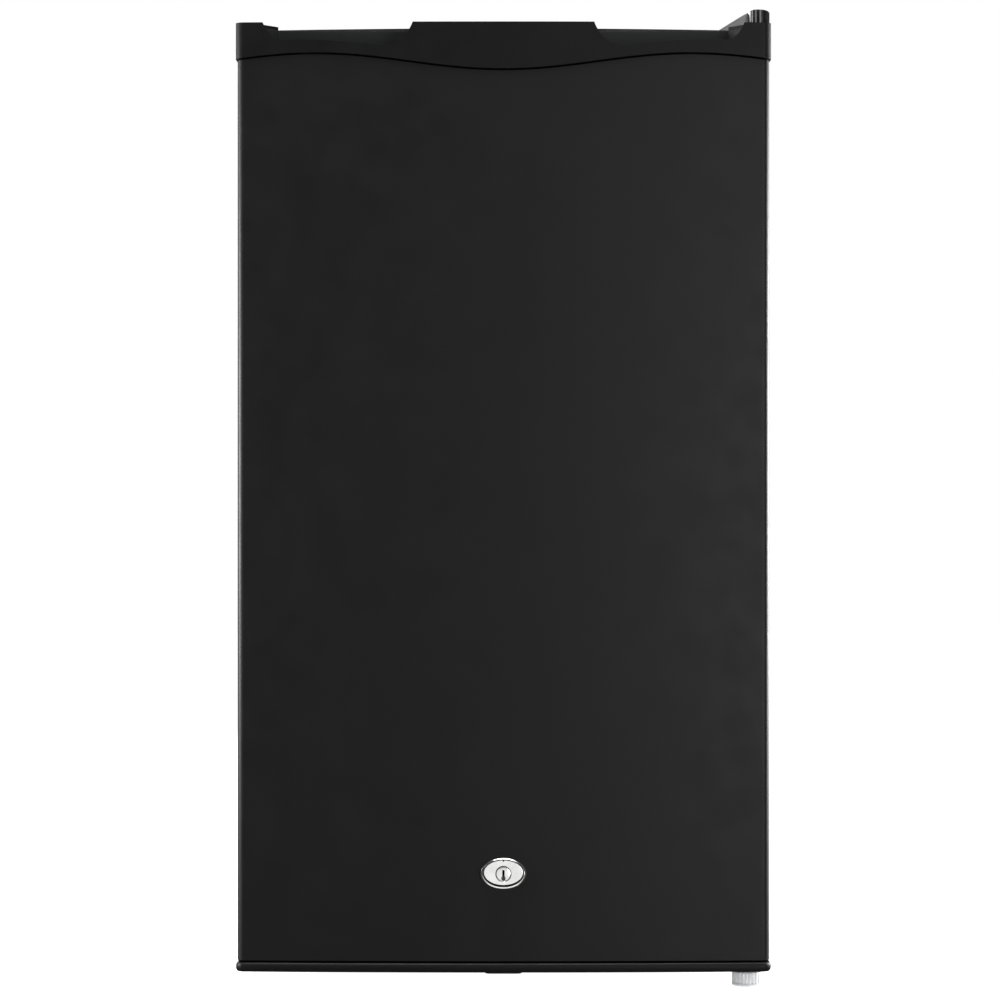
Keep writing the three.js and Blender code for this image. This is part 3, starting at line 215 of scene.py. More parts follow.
# Near-black, matt, almost without sheen: painted shade for the gaps behind the caps' seams, the lock's
# groove and its keyway; also the small dot on the lock face.
PAINTED_SHADE_BLACK = moulded_plastic("painted_shade_black", (0.0006, 0.0006, 0.0006), 0.9, specular_ior_level=0.05)
BLACK_MOULDING = moulded_plastic("black_moulding", (0.012, 0.012, 0.0125), 0.5, 1200)
HINGE_GLOSS = gloss_plastic("hinge_gloss", (0.008, 0.008, 0.0085), 0.16)
NICKEL = plated_metal("nickel", (0.83, 0.83, 0.82), 0.2)
BRIGHT_STEEL = plated_metal("bright_steel", (0.52, 0.52, 0.53), 0.3, (1, 8, 1))
KEYWAY_STEEL = plated_metal("keyway_steel", (0.25, 0.24, 0.22), 0.4, (1, 1, 9))
ZINC = zinc_plate("zinc_plate", (0.5, 0.51, 0.53), 0.36)
BLACK_STEEL = painted_steel("black_steel", (0.012, 0.012, 0.0125), 0.5)
COPPER = plated_metal("copper", (0.72, 0.32, 0.19), 0.28, (1, 1, 6))
ALUMINIUM = plated_metal("aluminium", (0.76, 0.78, 0.8), 0.34, (9, 1, 1))
WHITE_LINER = moulded_plastic("white_liner", (0.80, 0.80, 0.775), 0.32, 420, 0.06)
WHITE_MOULDING = moulded_plastic("white_moulding", (0.82, 0.82, 0.80), 0.36, 1500, 0.12)
SEAL_RUBBER = soft_rubber("seal_rubber", (0.42, 0.42, 0.41), 0.55)
BLACK_RUBBER = soft_rubber("black_rubber", (0.016, 0.016, 0.017))
FOOT_PLASTIC = moulded_plastic("foot_plastic", (0.66, 0.67, 0.68), 0.28, 900, 0.1)
CLEAR_BLUE = clear_plastic("clear_plastic", (0.86, 0.93, 0.97))
SHELF_GLASS = clear_plastic("shelf_glass", (0.86, 0.95, 0.92), 0.02)
FOAM = foam_material("foam", (0.70, 0.60, 0.33))
PRINT_GREY = moulded_plastic("print_grey", (0.09, 0.09, 0.1), 0.5)


# ------------------------------------------------------------- mesh and pieces


def new_object(name, vertices, faces):
    mesh = bpy.data.meshes.new(name)
    mesh.from_pydata([tuple(v) for v in vertices], [], faces)
    mesh.validate()
    made = bpy.data.objects.new(name, mesh)
    COLLECTION.objects.link(made)
    return made


def tidy_normals(thing, merge=0.02 * MM):
    work = bmesh.new()
    work.from_mesh(thing.data)
    bmesh.ops.remove_doubles(work, verts=work.verts, dist=merge)
    bmesh.ops.recalc_face_normals(work, faces=work.faces)
    work.to_mesh(thing.data)
    work.free()
    return thing


def prism(name, outline, axis, low, high):
    """Extrudes an outline, drawn in the two other axes, from low to high along axis."""
    def point(u, v, w):
        return {"x": (w, u, v), "y": (u, w, v), "z": (u, v, w)}[axis]

    count = len(outline)
    vertices = [point(u, v, w) for w in (low, high) for u, v in outline]
    faces = [tuple(range(count)), tuple(range(count, 2 * count))]
    for i in range(count):
        j = (i + 1) % count
        faces.append((i, j, count + j, count + i))
    return tidy_normals(new_object(name, vertices, faces))


def block(name, x, y, z):
    return prism(name, [(x[0], y[0]), (x[1], y[0]), (x[1], y[1]), (x[0], y[1])], "z", *z)


def rings(name, loops, cap_start=True, cap_end=True, closed=True):
    """Joins loops of points, each with the same count, into a surface."""
    count = len(loops[0])
    vertices = [point for loop in loops for point in loop]
    faces = []
    for k in range(len(loops) - 1):
        for i in range(count if closed else count - 1):
            j = (i + 1) % count
            faces.append((k * count + i, k * count + j, (k + 1) * count + j, (k + 1) * count + i))
    if cap_start:
        faces.append(tuple(range(count)))
    if cap_end:
        faces.append(tuple(range((len(loops) - 1) * count, len(loops) * count)))
    return tidy_normals(new_object(name, vertices, faces), 0.001 * MM)


def circle(radius, count, u=0.0, v=0.0, phase=0.0):
    step = 2 * math.pi / count
    return [
        (u + radius * math.cos(phase + i * step), v + radius * math.sin(phase + i * step))
        for i in range(count)
    ]


def lathe(name, profile, axis, centre, count=64):
    """Turns (radius, along) pairs round an axis through centre."""
    def point(radius, along, angle):
        c, s = radius * math.cos(angle), radius * math.sin(angle)
        local = {"x": (along, c, s), "y": (c, along, s), "z": (c, s, along)}[axis]
        return Vector(local) + Vector(centre)

    loops = []
    for radius, along in profile:
        angles = [2 * math.pi * i / count for i in range(count)]
        loops.append([point(max(radius, 0.005 * MM), along, a) for a in angles])
    return rings(name, loops)


def apply_modifiers(thing):
    bpy.context.view_layer.update()
    graph = bpy.context.evaluated_depsgraph_get()
    mesh = bpy.data.meshes.new_from_object(thing.evaluated_get(graph))
    thing.modifiers.clear()
    old = thing.data
    thing.data = mesh
    bpy.data.meshes.remove(old)
    return thing


def boolean(thing, tools, operation="DIFFERENCE"):
    for tool in tools:
        modifier = thing.modifiers.new("boolean", "BOOLEAN")
        modifier.operation = operation
        modifier.solver = "EXACT"
        modifier.object = tool
        apply_modifiers(thing)
        bpy.data.objects.remove(tool)
    return tidy_normals(thing, 0.005 * MM)


def soften(thing, width, segments=3, angle=32):
    """Rounds the edges sharper than an angle and shades the rest smooth."""
    for polygon in thing.data.polygons:
        polygon.use_smooth = True
    bevel = thing.modifiers.new("bevel", "BEVEL")
    bevel.width = width
    bevel.segments = segments
    bevel.limit_method = "ANGLE"
    bevel.angle_limit = math.radians(angle)
    bevel.harden_normals = True
    bevel.miter_outer = "MITER_ARC"
    return thing


def smooth(thing, angle=40):
    thing.data.shade_smooth()
    thing.data.set_sharp_from_angle(angle=math.radians(angle))
    return thing


def piece(thing, body, material, slot, *replaced):
    """Puts a finished piece on its body, with its material and the CAD nodes that it stands for."""
    thing.data.materials.clear()
    thing.data.materials.append(material)
    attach(thing, body)
    if replaced:
        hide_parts(*replaced)
    return thing


def tube(name, points, radius, sides=16):
    """A round tube through points, with end caps."""
    curve = bpy.data.curves.new(name, "CURVE")
    curve.dimensions = "3D"
    curve.bevel_depth = radius
    curve.bevel_resolution = max(sides // 4 - 1, 1)
    curve.use_fill_caps = True
    spline = curve.splines.new("POLY")
    spline.points.add(len(points) - 1)
    for target, point in zip(spline.points, points):
        target.co = (*point, 1)
    made = bpy.data.objects.new(name, curve)
    COLLECTION.objects.link(made)
    bpy.context.view_layer.update()
    mesh = bpy.data.meshes.new_from_object(made.evaluated_get(bpy.context.evaluated_depsgraph_get()))
    bpy.data.objects.remove(made)
    solid = bpy.data.objects.new(name, mesh)
    COLLECTION.objects.link(solid)
    return smooth(tidy_normals(solid, 0.01 * MM), 50)


def bezier(start, first, second, end, steps):
    points = []
    for i in range(steps + 1):
        t = i / steps
        weights = ((1 - t) ** 3, 3 * t * (1 - t) ** 2, 3 * t * t * (1 - t), t ** 3)
        points.append(
            tuple(sum(w * p[k] for w, p in zip(weights, (start, first, second, end))) for k in (0, 1))
        )
    return points


def rounded_rectangle(u, v, radius, steps=6):
    points = []
    centres = [
        (u[1] - radius, v[0] + radius, -0.5),
        (u[1] - radius, v[1] - radius, 0.0),
        (u[0] + radius, v[1] - radius, 0.5),
        (u[0] + radius, v[0] + radius, 1.0),
    ]
    for cu, cv, turn in centres:
        for i in range(steps + 1):
            angle = math.pi * (turn + 0.5 * i / steps)
            points.append((cu + radius * math.cos(angle), cv + radius * math.sin(angle)))
    return points


def joined(name, things):
    """Several loose parts as one piece."""
    work = bmesh.new()
    for thing in things:
        work.from_mesh(thing.data)
    mesh = bpy.data.meshes.new(name)
    work.to_mesh(mesh)
    work.free()
    for thing in things:
        bpy.data.objects.remove(thing)
    made = bpy.data.objects.new(name, mesh)
    COLLECTION.objects.link(made)
    return made


def keep_node(node, material, width=0.6 * MM, segments=2, angle=32):
    """Shows a CAD node itself, with rounded edges and its material."""
    thing = NODES[node]
    if thing.data.materials:
        for i in range(len(thing.data.materials)):
            thing.data.materials[i] = material
    else:
        thing.data.materials.append(material)
    weld = thing.modifiers.new("weld", "WELD")
    weld.merge_threshold = 0.01 * MM
    for polygon in thing.data.polygons:
        polygon.use_smooth = True
    if width:
        bevel = thing.modifiers.new("bevel", "BEVEL")
        bevel.width = width
        bevel.segments = segments
        bevel.limit_method = "ANGLE"
        bevel.angle_limit = math.radians(angle)
        bevel.harden_normals = True
        flat = thing.modifiers.new("flat_faces", "WEIGHTED_NORMAL")
        flat.weight = 100
    return thing


# --------------------------------------------------------------- door, outside

cap_low, cap_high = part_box("door_top_cap")
skin_low, skin_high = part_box("door_skin")
bead_low, bead_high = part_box("door_bottom_cap")

DOOR_HALF = cap_high.x
DOOR_FRONT = cap_low.y
DOOR_TOP = cap_high.z
DOOR_REAR = cap_high.y
DOOR_BOW = 6 * MM
DOOR_CORNER = 8 * MM
CAP_PROUD = DOOR_HALF - skin_high.x
LAP_INSET = CAP_PROUD + 1.1 * MM
SEAM = 1.7 * MM  # shadow gap between skin and caps
WAVE_MEAN = 33.6 * MM
WAVE_SWING = 7.2 * MM
WAVE_HALF = 166 * MM
SCOOP_OUTER = DOOR_HALF - 24 * MM
SCOOP_INNER = 79 * MM


def door_plan(inset, rear, corner_steps=12, bow_steps=64):
    """The door's outline from above: straight back, round corners, bowed front."""
    half = DOOR_HALF - inset
    middle = DOOR_FRONT + inset
    edge = middle + DOOR_BOW
    corner = DOOR_CORNER - inset
    reach = half - corner
    left = []
    for i in range(corner_steps):
        angle = math.pi / 2 * i / corner_steps
        left.append((-half + corner * (1 - math.cos(angle)), edge + corner * (1 - math.sin(angle))))
    bow = []
    for i in range(bow_steps + 1):
        x = -reach + 2 * reach * i / bow_steps
        bow.append((x, middle + DOOR_BOW * (x / reach) ** 2))
    right = [(-x, y) for x, y in reversed(left)]
    return [(half, rear), (-half, rear)] + left + bow + right


def wave(x):
    return DOOR_TOP - WAVE_MEAN - WAVE_SWING * math.cos(math.pi * x / WAVE_HALF)


def above_wave(name, drop):
    half = DOOR_HALF + 4 * MM
    steps = 120
    line = [(-half + 2 * half * i / steps) for i in range(steps + 1)]
    outline = [(half, DOOR_TOP + 0.01), (-half, DOOR_TOP + 0.01)]
    outline += [(x, wave(x) - drop) for x in line]
    return prism(name, outline, "y", DOOR_FRONT - 0.01, DOOR_REAR + 0.01)


def make_panel():
    bottom = skin_low.z + SEAM - 0.3 * MM
    panel = prism("door_panel", door_plan(CAP_PROUD, DOOR_REAR), "z", bottom, DOOR_TOP)
    inside = prism("inside", door_plan(CAP_PROUD + 0.8 * MM, DOOR_REAR + 0.01), "z", 0, DOOR_TOP + 0.01)
    hole = prism(
        "hole", [(x, z + LOCK.z) for x, z in circle(9.8 * MM, 48)], "y", DOOR_FRONT - 0.01,
        DOOR_FRONT + 6 * MM
    )
    boolean(panel, [inside, above_wave("wave", SEAM), hole])
    piece(soften(panel, 0.35 * MM, 2), "door", PANEL_PAINT, "skin", "door_skin")


def lip_line():
    """The scoop's lip in the cap's front wall, right of the middle, from its outer end."""
    def mm(x, drop):
        return (x, DOOR_TOP - drop * MM)

    outer = bezier(
        mm(SCOOP_OUTER, 0),
        mm(SCOOP_OUTER - 4.2 * MM, 10.5),
        mm(SCOOP_OUTER - 9.5 * MM, 15.8),
        mm(SCOOP_OUTER - 19 * MM, 15.6),
        14,
    )
    crest = bezier(
        mm(SCOOP_OUTER - 19 * MM, 15.6),
        mm(SCOOP_OUTER - 46 * MM, 14.2),
        mm(SCOOP_INNER + 66 * MM, 17.2),
        mm(SCOOP_INNER + 24.5 * MM, 20.4),
        20,
    )
    inner = bezier(
        mm(SCOOP_INNER + 24.5 * MM, 20.4),
        mm(SCOOP_INNER + 16.5 * MM, 19.8),
        mm(SCOOP_INNER + 5.5 * MM, 14.2),
        mm(SCOOP_INNER + 0.4 * MM, 0),
        14,
    )
    return outer + crest[1:] + inner[1:]


def make_top_cap():
    low = wave(0) - 6 * MM
    cap = prism("top_cap", door_plan(0, DOOR_REAR), "z", low - 0.02, DOOR_TOP)
    boolean(cap, [above_wave("wave", 0)], "INTERSECT")
    pocket_front = DOOR_FRONT + 8 * MM
    pocket_rear = DOOR_REAR - 3.7 * MM
    floor = DOOR_TOP - 38 * MM
    slope = 12 * MM
    line = lip_line()
    for side in (-1, 1):
        plan = [
            (SCOOP_INNER, pocket_front),
            (SCOOP_OUTER, pocket_front),
            (SCOOP_OUTER, pocket_rear - 15 * MM),
            (SCOOP_OUTER - slope, pocket_rear),
            (SCOOP_INNER + 3 * MM, pocket_rear),
            (SCOOP_INNER, pocket_rear - 3 * MM),
        ]
        pocket = prism("pocket", [(side * x, y) for x, y in plan], "z", floor, DOOR_TOP + 0.01)
        outline = [(SCOOP_OUTER, DOOR_TOP + 0.01)] + line
        outline.append((SCOOP_INNER + 0.4 * MM, DOOR_TOP + 0.01))
        lip = prism(
            "lip",
            [(side * x, z) for x, z in outline],
            "y",
            DOOR_FRONT - 0.01,
            pocket_front + 0.5 * MM,
        )
        boolean(cap, [pocket, lip])
    arch = [(SCOOP_OUTER, DOOR_TOP + 0.01), (-SCOOP_OUTER, DOOR_TOP + 0.01)]
    for i in range(41):
        x = -SCOOP_OUTER + 2 * SCOOP_OUTER * i / 40
        arch.append((x, DOOR_TOP - 3 * MM + 2 * MM * (1 - (x / SCOOP_OUTER) ** 2)))
    back_wall = prism("arch", arch, "y", pocket_rear - 0.2 * MM, DOOR_REAR + 0.01)
    bore = prism(
        "bore", circle(5.6 * MM, 40, HINGE.x, HINGE.y), "z", DOOR_TOP - 0.0143, DOOR_TOP + 0.01
    )
    boolean(cap, [back_wall, bore])
    soften(cap, 1.6 * MM, 5, 30)
    lap = prism(
        "top_cap_lap", door_plan(LAP_INSET, DOOR_REAR), "z", cap_low.z, wave(WAVE_HALF) - 0.5 * MM
    )
    boolean(lap, [above_wave("wave", -1.5 * MM)])
    # The pockets' back walls are inserts in that lighter plastic: painted light for the light they catch
    # from above.
    for side, name in ((-1, "scoop_wall_left"), (1, "scoop_wall_right")):
        top_edge = DOOR_TOP - 3.2 * MM
        wall_plan = [
            (SCOOP_INNER + 3.6 * MM, pocket_rear - 0.9 * MM),
            (SCOOP_OUTER - slope - 0.8 * MM, pocket_rear - 0.9 * MM),
            (SCOOP_OUTER - 1.4 * MM, pocket_rear - 14.6 * MM),
            (SCOOP_OUTER - 0.2 * MM, pocket_rear - 14.8 * MM),
            (SCOOP_OUTER - slope - 0.2 * MM, pocket_rear - 0.05 * MM),
            (SCOOP_INNER + 3.6 * MM, pocket_rear - 0.05 * MM),
        ]
        insert = prism(name, [(side * x, y) for x, y in wall_plan], "z", floor + 0.3 * MM, top_edge)
        piece(soften(insert, 0.3 * MM, 2), "door", SCOOP_PAINTED_LIGHT, "cap")
    # The lap behind the seam gap is near-black: painted shade that makes the gap read dark.
    piece(soften(lap, 0.4 * MM, 1), "door", PAINTED_SHADE_BLACK, "cap", "door_top_cap")
    for_lip.append(piece(cap, "door", CAP_PLASTIC, "cap", "door_top_cap"))


def make_bottom_cap():
    """A bullnosed bead along the door's lower edge, with the bolt's boss under it."""
    height = 8.5 * MM
    bottom = bead_low.z + 1.8 * MM
    middle = bottom + height / 2
    loops = []
    for i in range(13):
        angle = math.pi * (i / 12 - 0.5)
        swell = height / 2 * (1 - abs(math.cos(angle)) ** 0.75) * 0.8
        plan = door_plan(swell, DOOR_REAR, 10, 48)
        rise = height / 2 * math.copysign(abs(math.sin(angle)) ** 0.85, math.sin(angle))
        loops.append([(x, y, middle + rise) for x, y in plan])
    bead = rings("bottom_cap", loops)
    boss_outline = rounded_rectangle((-16 * MM, 16 * MM), (DOOR_FRONT + 9 * MM, DOOR_REAR), 5 * MM)
    boss = prism("boss", boss_outline, "z", bead_low.z, bottom + 3 * MM)
    boolean(bead, [boss], "UNION")
    recess = block(
        "recess",
        (bracket_low.x - 3 * MM, DOOR_HALF + 2 * MM),
        (HINGE.y - 15 * MM, DOOR_REAR + 0.01),
        (0, bracket_high.z + 1 * MM),
    )
    bore = prism("bore", circle(5.6 * MM, 40, HINGE.x, HINGE.y), "z", 0, bottom + 0.05)
    bolt_hole = block(
        "hole", (-3.3 * MM, 3.3 * MM), (bolt_low.y - 0.3 * MM, bolt_high.y + 0.3 * MM), (0, 0.1)
    )
    boolean(bead, [recess, bore, bolt_hole])
    soften(bead, 0.5 * MM, 2, 34)
    lap = prism(
        "bottom_cap_lap", door_plan(LAP_INSET, DOOR_REAR), "z", bottom + height - 1 * MM,
        bead_high.z - 5 * MM
    )
    lap_bore = prism("bore", circle(5.6 * MM, 40, HINGE.x, HINGE.y), "z", 0, 0.1)
    lap_hole = block(
        "hole", (-3.3 * MM, 3.3 * MM), (bolt_low.y - 0.3 * MM, bolt_high.y + 0.3 * MM), (0, 0.1)
    )
    boolean(lap, [lap_bore, lap_hole])
    # The lap behind the seam gap is near-black: painted shade that makes the gap read dark.
    piece(soften(lap, 0.4 * MM, 1), "door", PAINTED_SHADE_BLACK, "cap", "door_bottom_cap")
    piece(bead, "door", CAP_PLASTIC, "cap", "door_bottom_cap")


pin_low, pin_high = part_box("upper_hinge_pin")
HINGE = (pin_low + pin_high) / 2
bracket_low, bracket_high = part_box("lower_hinge_bracket")
bolt_low, bolt_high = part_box("lock_bolt")
lock_low, lock_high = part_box("lock_housing")
plug_low, plug_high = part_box("lock_plug")
for_lock = []  # what the lock's own light cards shine on
for_hinge = []  # the same for the hinge cover
for_lip = []  # and for the top cap's lips
LOCK = Vector((0, lock_low.y, (lock_low.z + lock_high.z) / 2))


# ----------------------------------------------------------------------- lock


def oval_loop(half_wide, half_tall, y, rise=0.0, count=128):
    step = 2 * math.pi / count
    return [
        (half_wide * math.cos(i * step), y, LOCK.z + rise + half_tall * math.sin(i * step))
        for i in range(count)
    ]


def make_lock():
    """Oval nickel escutcheon: a lower bevel, a groove lined with painted shade, a flat raised face and a
    round plug.
    """
    face = lock_low.y
    wide = (lock_high.x - lock_low.x) / 2
    tall = (lock_high.z - lock_low.z) / 2
    seat = skin_low.y
    bore = 6.8 * MM
    steps = [
        (0, 0, 2.3, 0), (0.2, 0.2, 1.7, 0), (0.8, 0.8, 1.05, 0), (1.4, 1.25, 0.75, 0.2),
        (1.9, 1.6, 0.62, 0.5),
        (2.3, 1.95, 1.7, 0.6), (3.0, 2.65, 1.7, 1.0), (3.1, 2.75, 0.3, 1.1), (3.25, 2.9, 0.06, 1.1),
        (3.5, 3.15, 0, 1.1), (3.8, 3.45, 0, 1.1),
    ]
    loops = [oval_loop(wide, tall, seat)]
    for in_x, in_z, back, rise in steps:
        loops.append(oval_loop(wide - in_x * MM, tall - in_z * MM, face + back * MM, rise * MM))
    loops.append(oval_loop(bore + 0.9 * MM, bore + 0.9 * MM, face, 0.2 * MM))
    loops.append(oval_loop(bore + 0.25 * MM, bore + 0.25 * MM, face))
    loops.append(oval_loop(bore, bore, face + 0.2 * MM))
    loops.append(oval_loop(bore, bore, lock_high.y))
    loops.append(oval_loop(9.5 * MM, 9.5 * MM, lock_high.y))
    loops.append(oval_loop(9.5 * MM, 9.5 * MM, seat))
    loops.append(loops[0])
    housing = rings("lock_escutcheon", loops, cap_start=False, cap_end=False)
    dot = lathe(
        "dot",
        [(0, -0.1 * MM), (0.7 * MM, -0.1 * MM), (0.7 * MM, 1 * MM), (0, 1 * MM)],
        "y",
        (0, face, LOCK.z + tall - 2.3 * MM),
        24,
    )
    for_lock.append(piece(smooth(housing, 24), "door", NICKEL, "nickel", "lock_housing"))
    # A near-black ring laid in the groove: painted shade for its depth.
    ring = [(2.35, 2.0, 1.6, 0.6), (2.35, 2.0, 1.0, 0.6), (2.95, 2.6, 1.0, 1.0), (2.95, 2.6, 1.6, 1.0)]
    groove = [
        oval_loop(wide - in_x * MM, tall - in_z * MM, face + back * MM, rise * MM)
        for in_x, in_z, back, rise in ring + ring[:1]
    ]
    shadow_ring = rings("lock_groove_painted_shade", groove, cap_start=False, cap_end=False)
    piece(smooth(shadow_ring), "door", PAINTED_SHADE_BLACK, "nickel")
    piece(smooth(dot), "door", PAINTED_SHADE_BLACK, "nickel")

    front = plug_low.y
    plug = lathe(
        "lock_plug_face",
        [
            (0, front + 0.45 * MM),
            (6.0 * MM, front + 0.45 * MM),
            (6.25 * MM, front + 0.55 * MM),
            (6.4 * MM, front + 0.8 * MM),
            (6.4 * MM, plug_high.y - 6.5 * MM),
            (0, plug_high.y - 6.5 * MM),
        ],
        "y",
        (0, 0, LOCK.z),
        96,
    )
    keyway = [
        (-1.05 * MM, LOCK.z + 3.4 * MM),
        (-1.05 * MM, LOCK.z - 1.6 * MM),
        (-1.9 * MM, LOCK.z - 3.2 * MM),
    ]
    keyway += [
        (1.9 * MM * math.cos(a), LOCK.z - 4.2 * MM + 1.9 * MM * math.sin(a))
        for a in [math.pi * (1 + i / 10) for i in range(11)]
    ]
    keyway += [
        (1.9 * MM, LOCK.z - 3.2 * MM), (1.05 * MM, LOCK.z - 1.6 * MM), (1.05 * MM, LOCK.z + 3.4 * MM)
    ]
    slot_cut = prism("keyway", keyway, "y", front - 1 * MM, front + 12 * MM)
    arm = block(
        "crank",
        (-4 * MM, plug_high.x),
        (plug_high.y - 6.9 * MM, plug_high.y - 3.9 * MM),
        (LOCK.z - 3.5 * MM, LOCK.z + 3.5 * MM),
    )
    crank_pin = lathe(
        "crank_pin",
        [
            (0, plug_high.y - 5 * MM), (1.5 * MM, plug_high.y - 5 * MM), (1.5 * MM, plug_high.y),
            (0, plug_high.y)
        ],
        "y",
        (8 * MM, 0, LOCK.z),
        24,
    )
    boolean(plug, [slot_cut])
    boolean(plug, [arm, crank_pin], "UNION")
    for_lock.append(
        piece(soften(plug, 0.15 * MM, 2, 24), "lock_cylinder", NICKEL, "nickel", "lock_plug")
    )
    shutter = prism(
        "keyway_shutter",
        [(1.4 * MM * math.cos(a), LOCK.z - 4.1 * MM + 1.6 * MM * math.sin(a)) for a in
         [2 * math.pi * i / 24 for i in range(24)]],
        "y",
        front + 1.2 * MM,
        front + 6 * MM,
    )
    piece(smooth(shutter), "lock_cylinder", KEYWAY_STEEL, "nickel")
    # A near-black block inside the keyway slot: painted shade for the slot's depth.
    wards = block(
        "keyway_painted_shade",
        (-0.95 * MM, 0.95 * MM),
        (front + 1 * MM, front + 6 * MM),
        (LOCK.z - 1.5 * MM, LOCK.z + 3.3 * MM),
    )
    piece(soften(wards, 0.1 * MM, 1), "lock_cylinder", PAINTED_SHADE_BLACK, "nickel")
    keep_node("lock_bolt", BRIGHT_STEEL, width=0.5 * MM)


# --------------------------------------------------------------- hinges, screws


def make_hinge_cover():
    """Glossy wedge on the worktop's corner, with a round nose over the door's pin."""
    low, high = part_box("hinge_cover")
    front = low.y + 35 * MM
    left, right, top = low.x, high.x, high.z
    outline = [(left, low.z), (right, low.z), (right, top - 4.5 * MM)]
    outline += bezier(
        (right, top - 3.5 * MM),
        (right - 0.5 * MM, top - 0.6 * MM),
        (right - 6 * MM, top),
        (right - 11 * MM, top),
        8,
    )
    outline += bezier(
        (right - 13.5 * MM, top),
        (right - 18 * MM, top - 0.6 * MM),
        (right - 22 * MM, top - 3.4 * MM),
        (left + 3 * MM, top - 17.2 * MM),
        14,
    )
    outline.append((left, top - 19 * MM))
    body = prism("hinge_cover_shell", outline, "y", front, high.y)
    radius = (high.x - HINGE.x) - 0.02 * MM
    plan = [(HINGE.x + radius, front + 9 * MM), (HINGE.x - radius, front + 9 * MM)]
    plan += [
        (HINGE.x - radius * math.cos(math.pi * i / 32), HINGE.y - radius * math.sin(math.pi * i / 32))
        for i in range(33)
    ]
    nose = prism("nose", plan, "z", DOOR_TOP + 0.8 * MM, top)
    lean = 3.0 * MM
    shape = rings("shape", [
        [(x, low.y - 1 * MM, z - (lean if z > DOOR_TOP else 0)) for x, z in outline],
        [(x, front, z) for x, z in outline],
        [(x, high.y, z) for x, z in outline],
    ])
    boolean(nose, [shape], "INTERSECT")
    boolean(body, [nose], "UNION")
    wall = 1.6 * MM
    inner_plan = [
        (x + (wall if x < HINGE.x else -wall) * (0.99 if abs(x - HINGE.x) > 1 * MM else 0), y) for x,
        y in plan[:2]
    ]
    inner_plan += [
        (
            HINGE.x - (radius - wall) * math.cos(math.pi * i / 24),
            HINGE.y - (radius - wall) * math.sin(math.pi * i / 24)
        )
        for i in range(25)
    ]
    inner_nose = prism("inner", inner_plan, "z", DOOR_TOP - 1 * MM, top - 3 * MM)
    inner_body = prism(
        "inner",
        [(left + wall, low.z - 1 * MM), (right - wall, low.z - 1 * MM), (right - wall, top - 6 * MM),
         (right - 14 * MM, top - 3 * MM), (left + 8 * MM, DOOR_TOP - 1 * MM),
         (left + wall, DOOR_TOP - 6 * MM)],
        "y",
        front + wall,
        high.y - wall,
    )
    boolean(body, [inner_body, inner_nose])
    for_hinge.append(
        piece(soften(body, 0.9 * MM, 4, 34), "cabinet", HINGE_GLOSS, "gloss_black", "hinge_cover")
    )


def cross_screw(node, top, down, radius=4 * MM):
    """A pan-head screw with a cross recess; down is the way its shank goes."""
    low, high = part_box(node)
    x, y = (low.x + high.x) / 2, (low.y + high.y) / 2
    length = high.z - low.z
    profile = [
        (0, 0), (radius * 0.45, 0.05 * MM), (radius * 0.8, 0.45 * MM), (radius, 1.2 * MM),
        (radius, 2 * MM), (2 * MM, 2 * MM)
    ]
    turns = int(length / (1.2 * MM)) - 2
    for i in range(turns):
        z = 2.4 * MM + i * 1.2 * MM
        profile += [(1.7 * MM, z), (2.0 * MM, z + 0.4 * MM), (1.7 * MM, z + 0.8 * MM)]
    profile += [(0.4 * MM, length)]
    placed = [(r, top + down * along) for r, along in profile]
    body = lathe(node + "_detail", placed, "z", (x, y, 0), 32)
    reach, width, deep = radius * 0.55, 0.5 * MM, 1.1 * MM
    z = sorted((top - down * MM, top + down * deep))
    arms = [
        block("arm", (x - reach, x + reach), (y - width, y + width), z),
        block("arm", (x - width, x + width), (y - reach, y + reach), z),
    ]
    boolean(body, arms)
    piece(smooth(body, 35), "cabinet", BRIGHT_STEEL, "steel", node)


def make_hinges():
    keep_node("upper_hinge_bracket", BRIGHT_STEEL, width=0.5 * MM)
    keep_node("lower_hinge_bracket", BRIGHT_STEEL, width=0.5 * MM)
    for node in ("upper_hinge_pin", "lower_hinge_pin"):
        keep_node(node, BRIGHT_STEEL, width=0.3 * MM)
    for node in ("upper_hinge_bush", "lower_hinge_bush"):
        keep_node(node, WHITE_MOULDING, width=0.25 * MM)
    for number in (1, 2):
        upper = f"upper_hinge_screw_{number}"
        lower = f"lower_hinge_screw_{number}"
        cross_screw(upper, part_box(upper)[1].z, -1)
        cross_screw(lower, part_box(lower)[0].z, 1)
    keep_node("lock_strike", BRIGHT_STEEL, width=0.3 * MM)


# ------------------------------------------------------------------------ feet


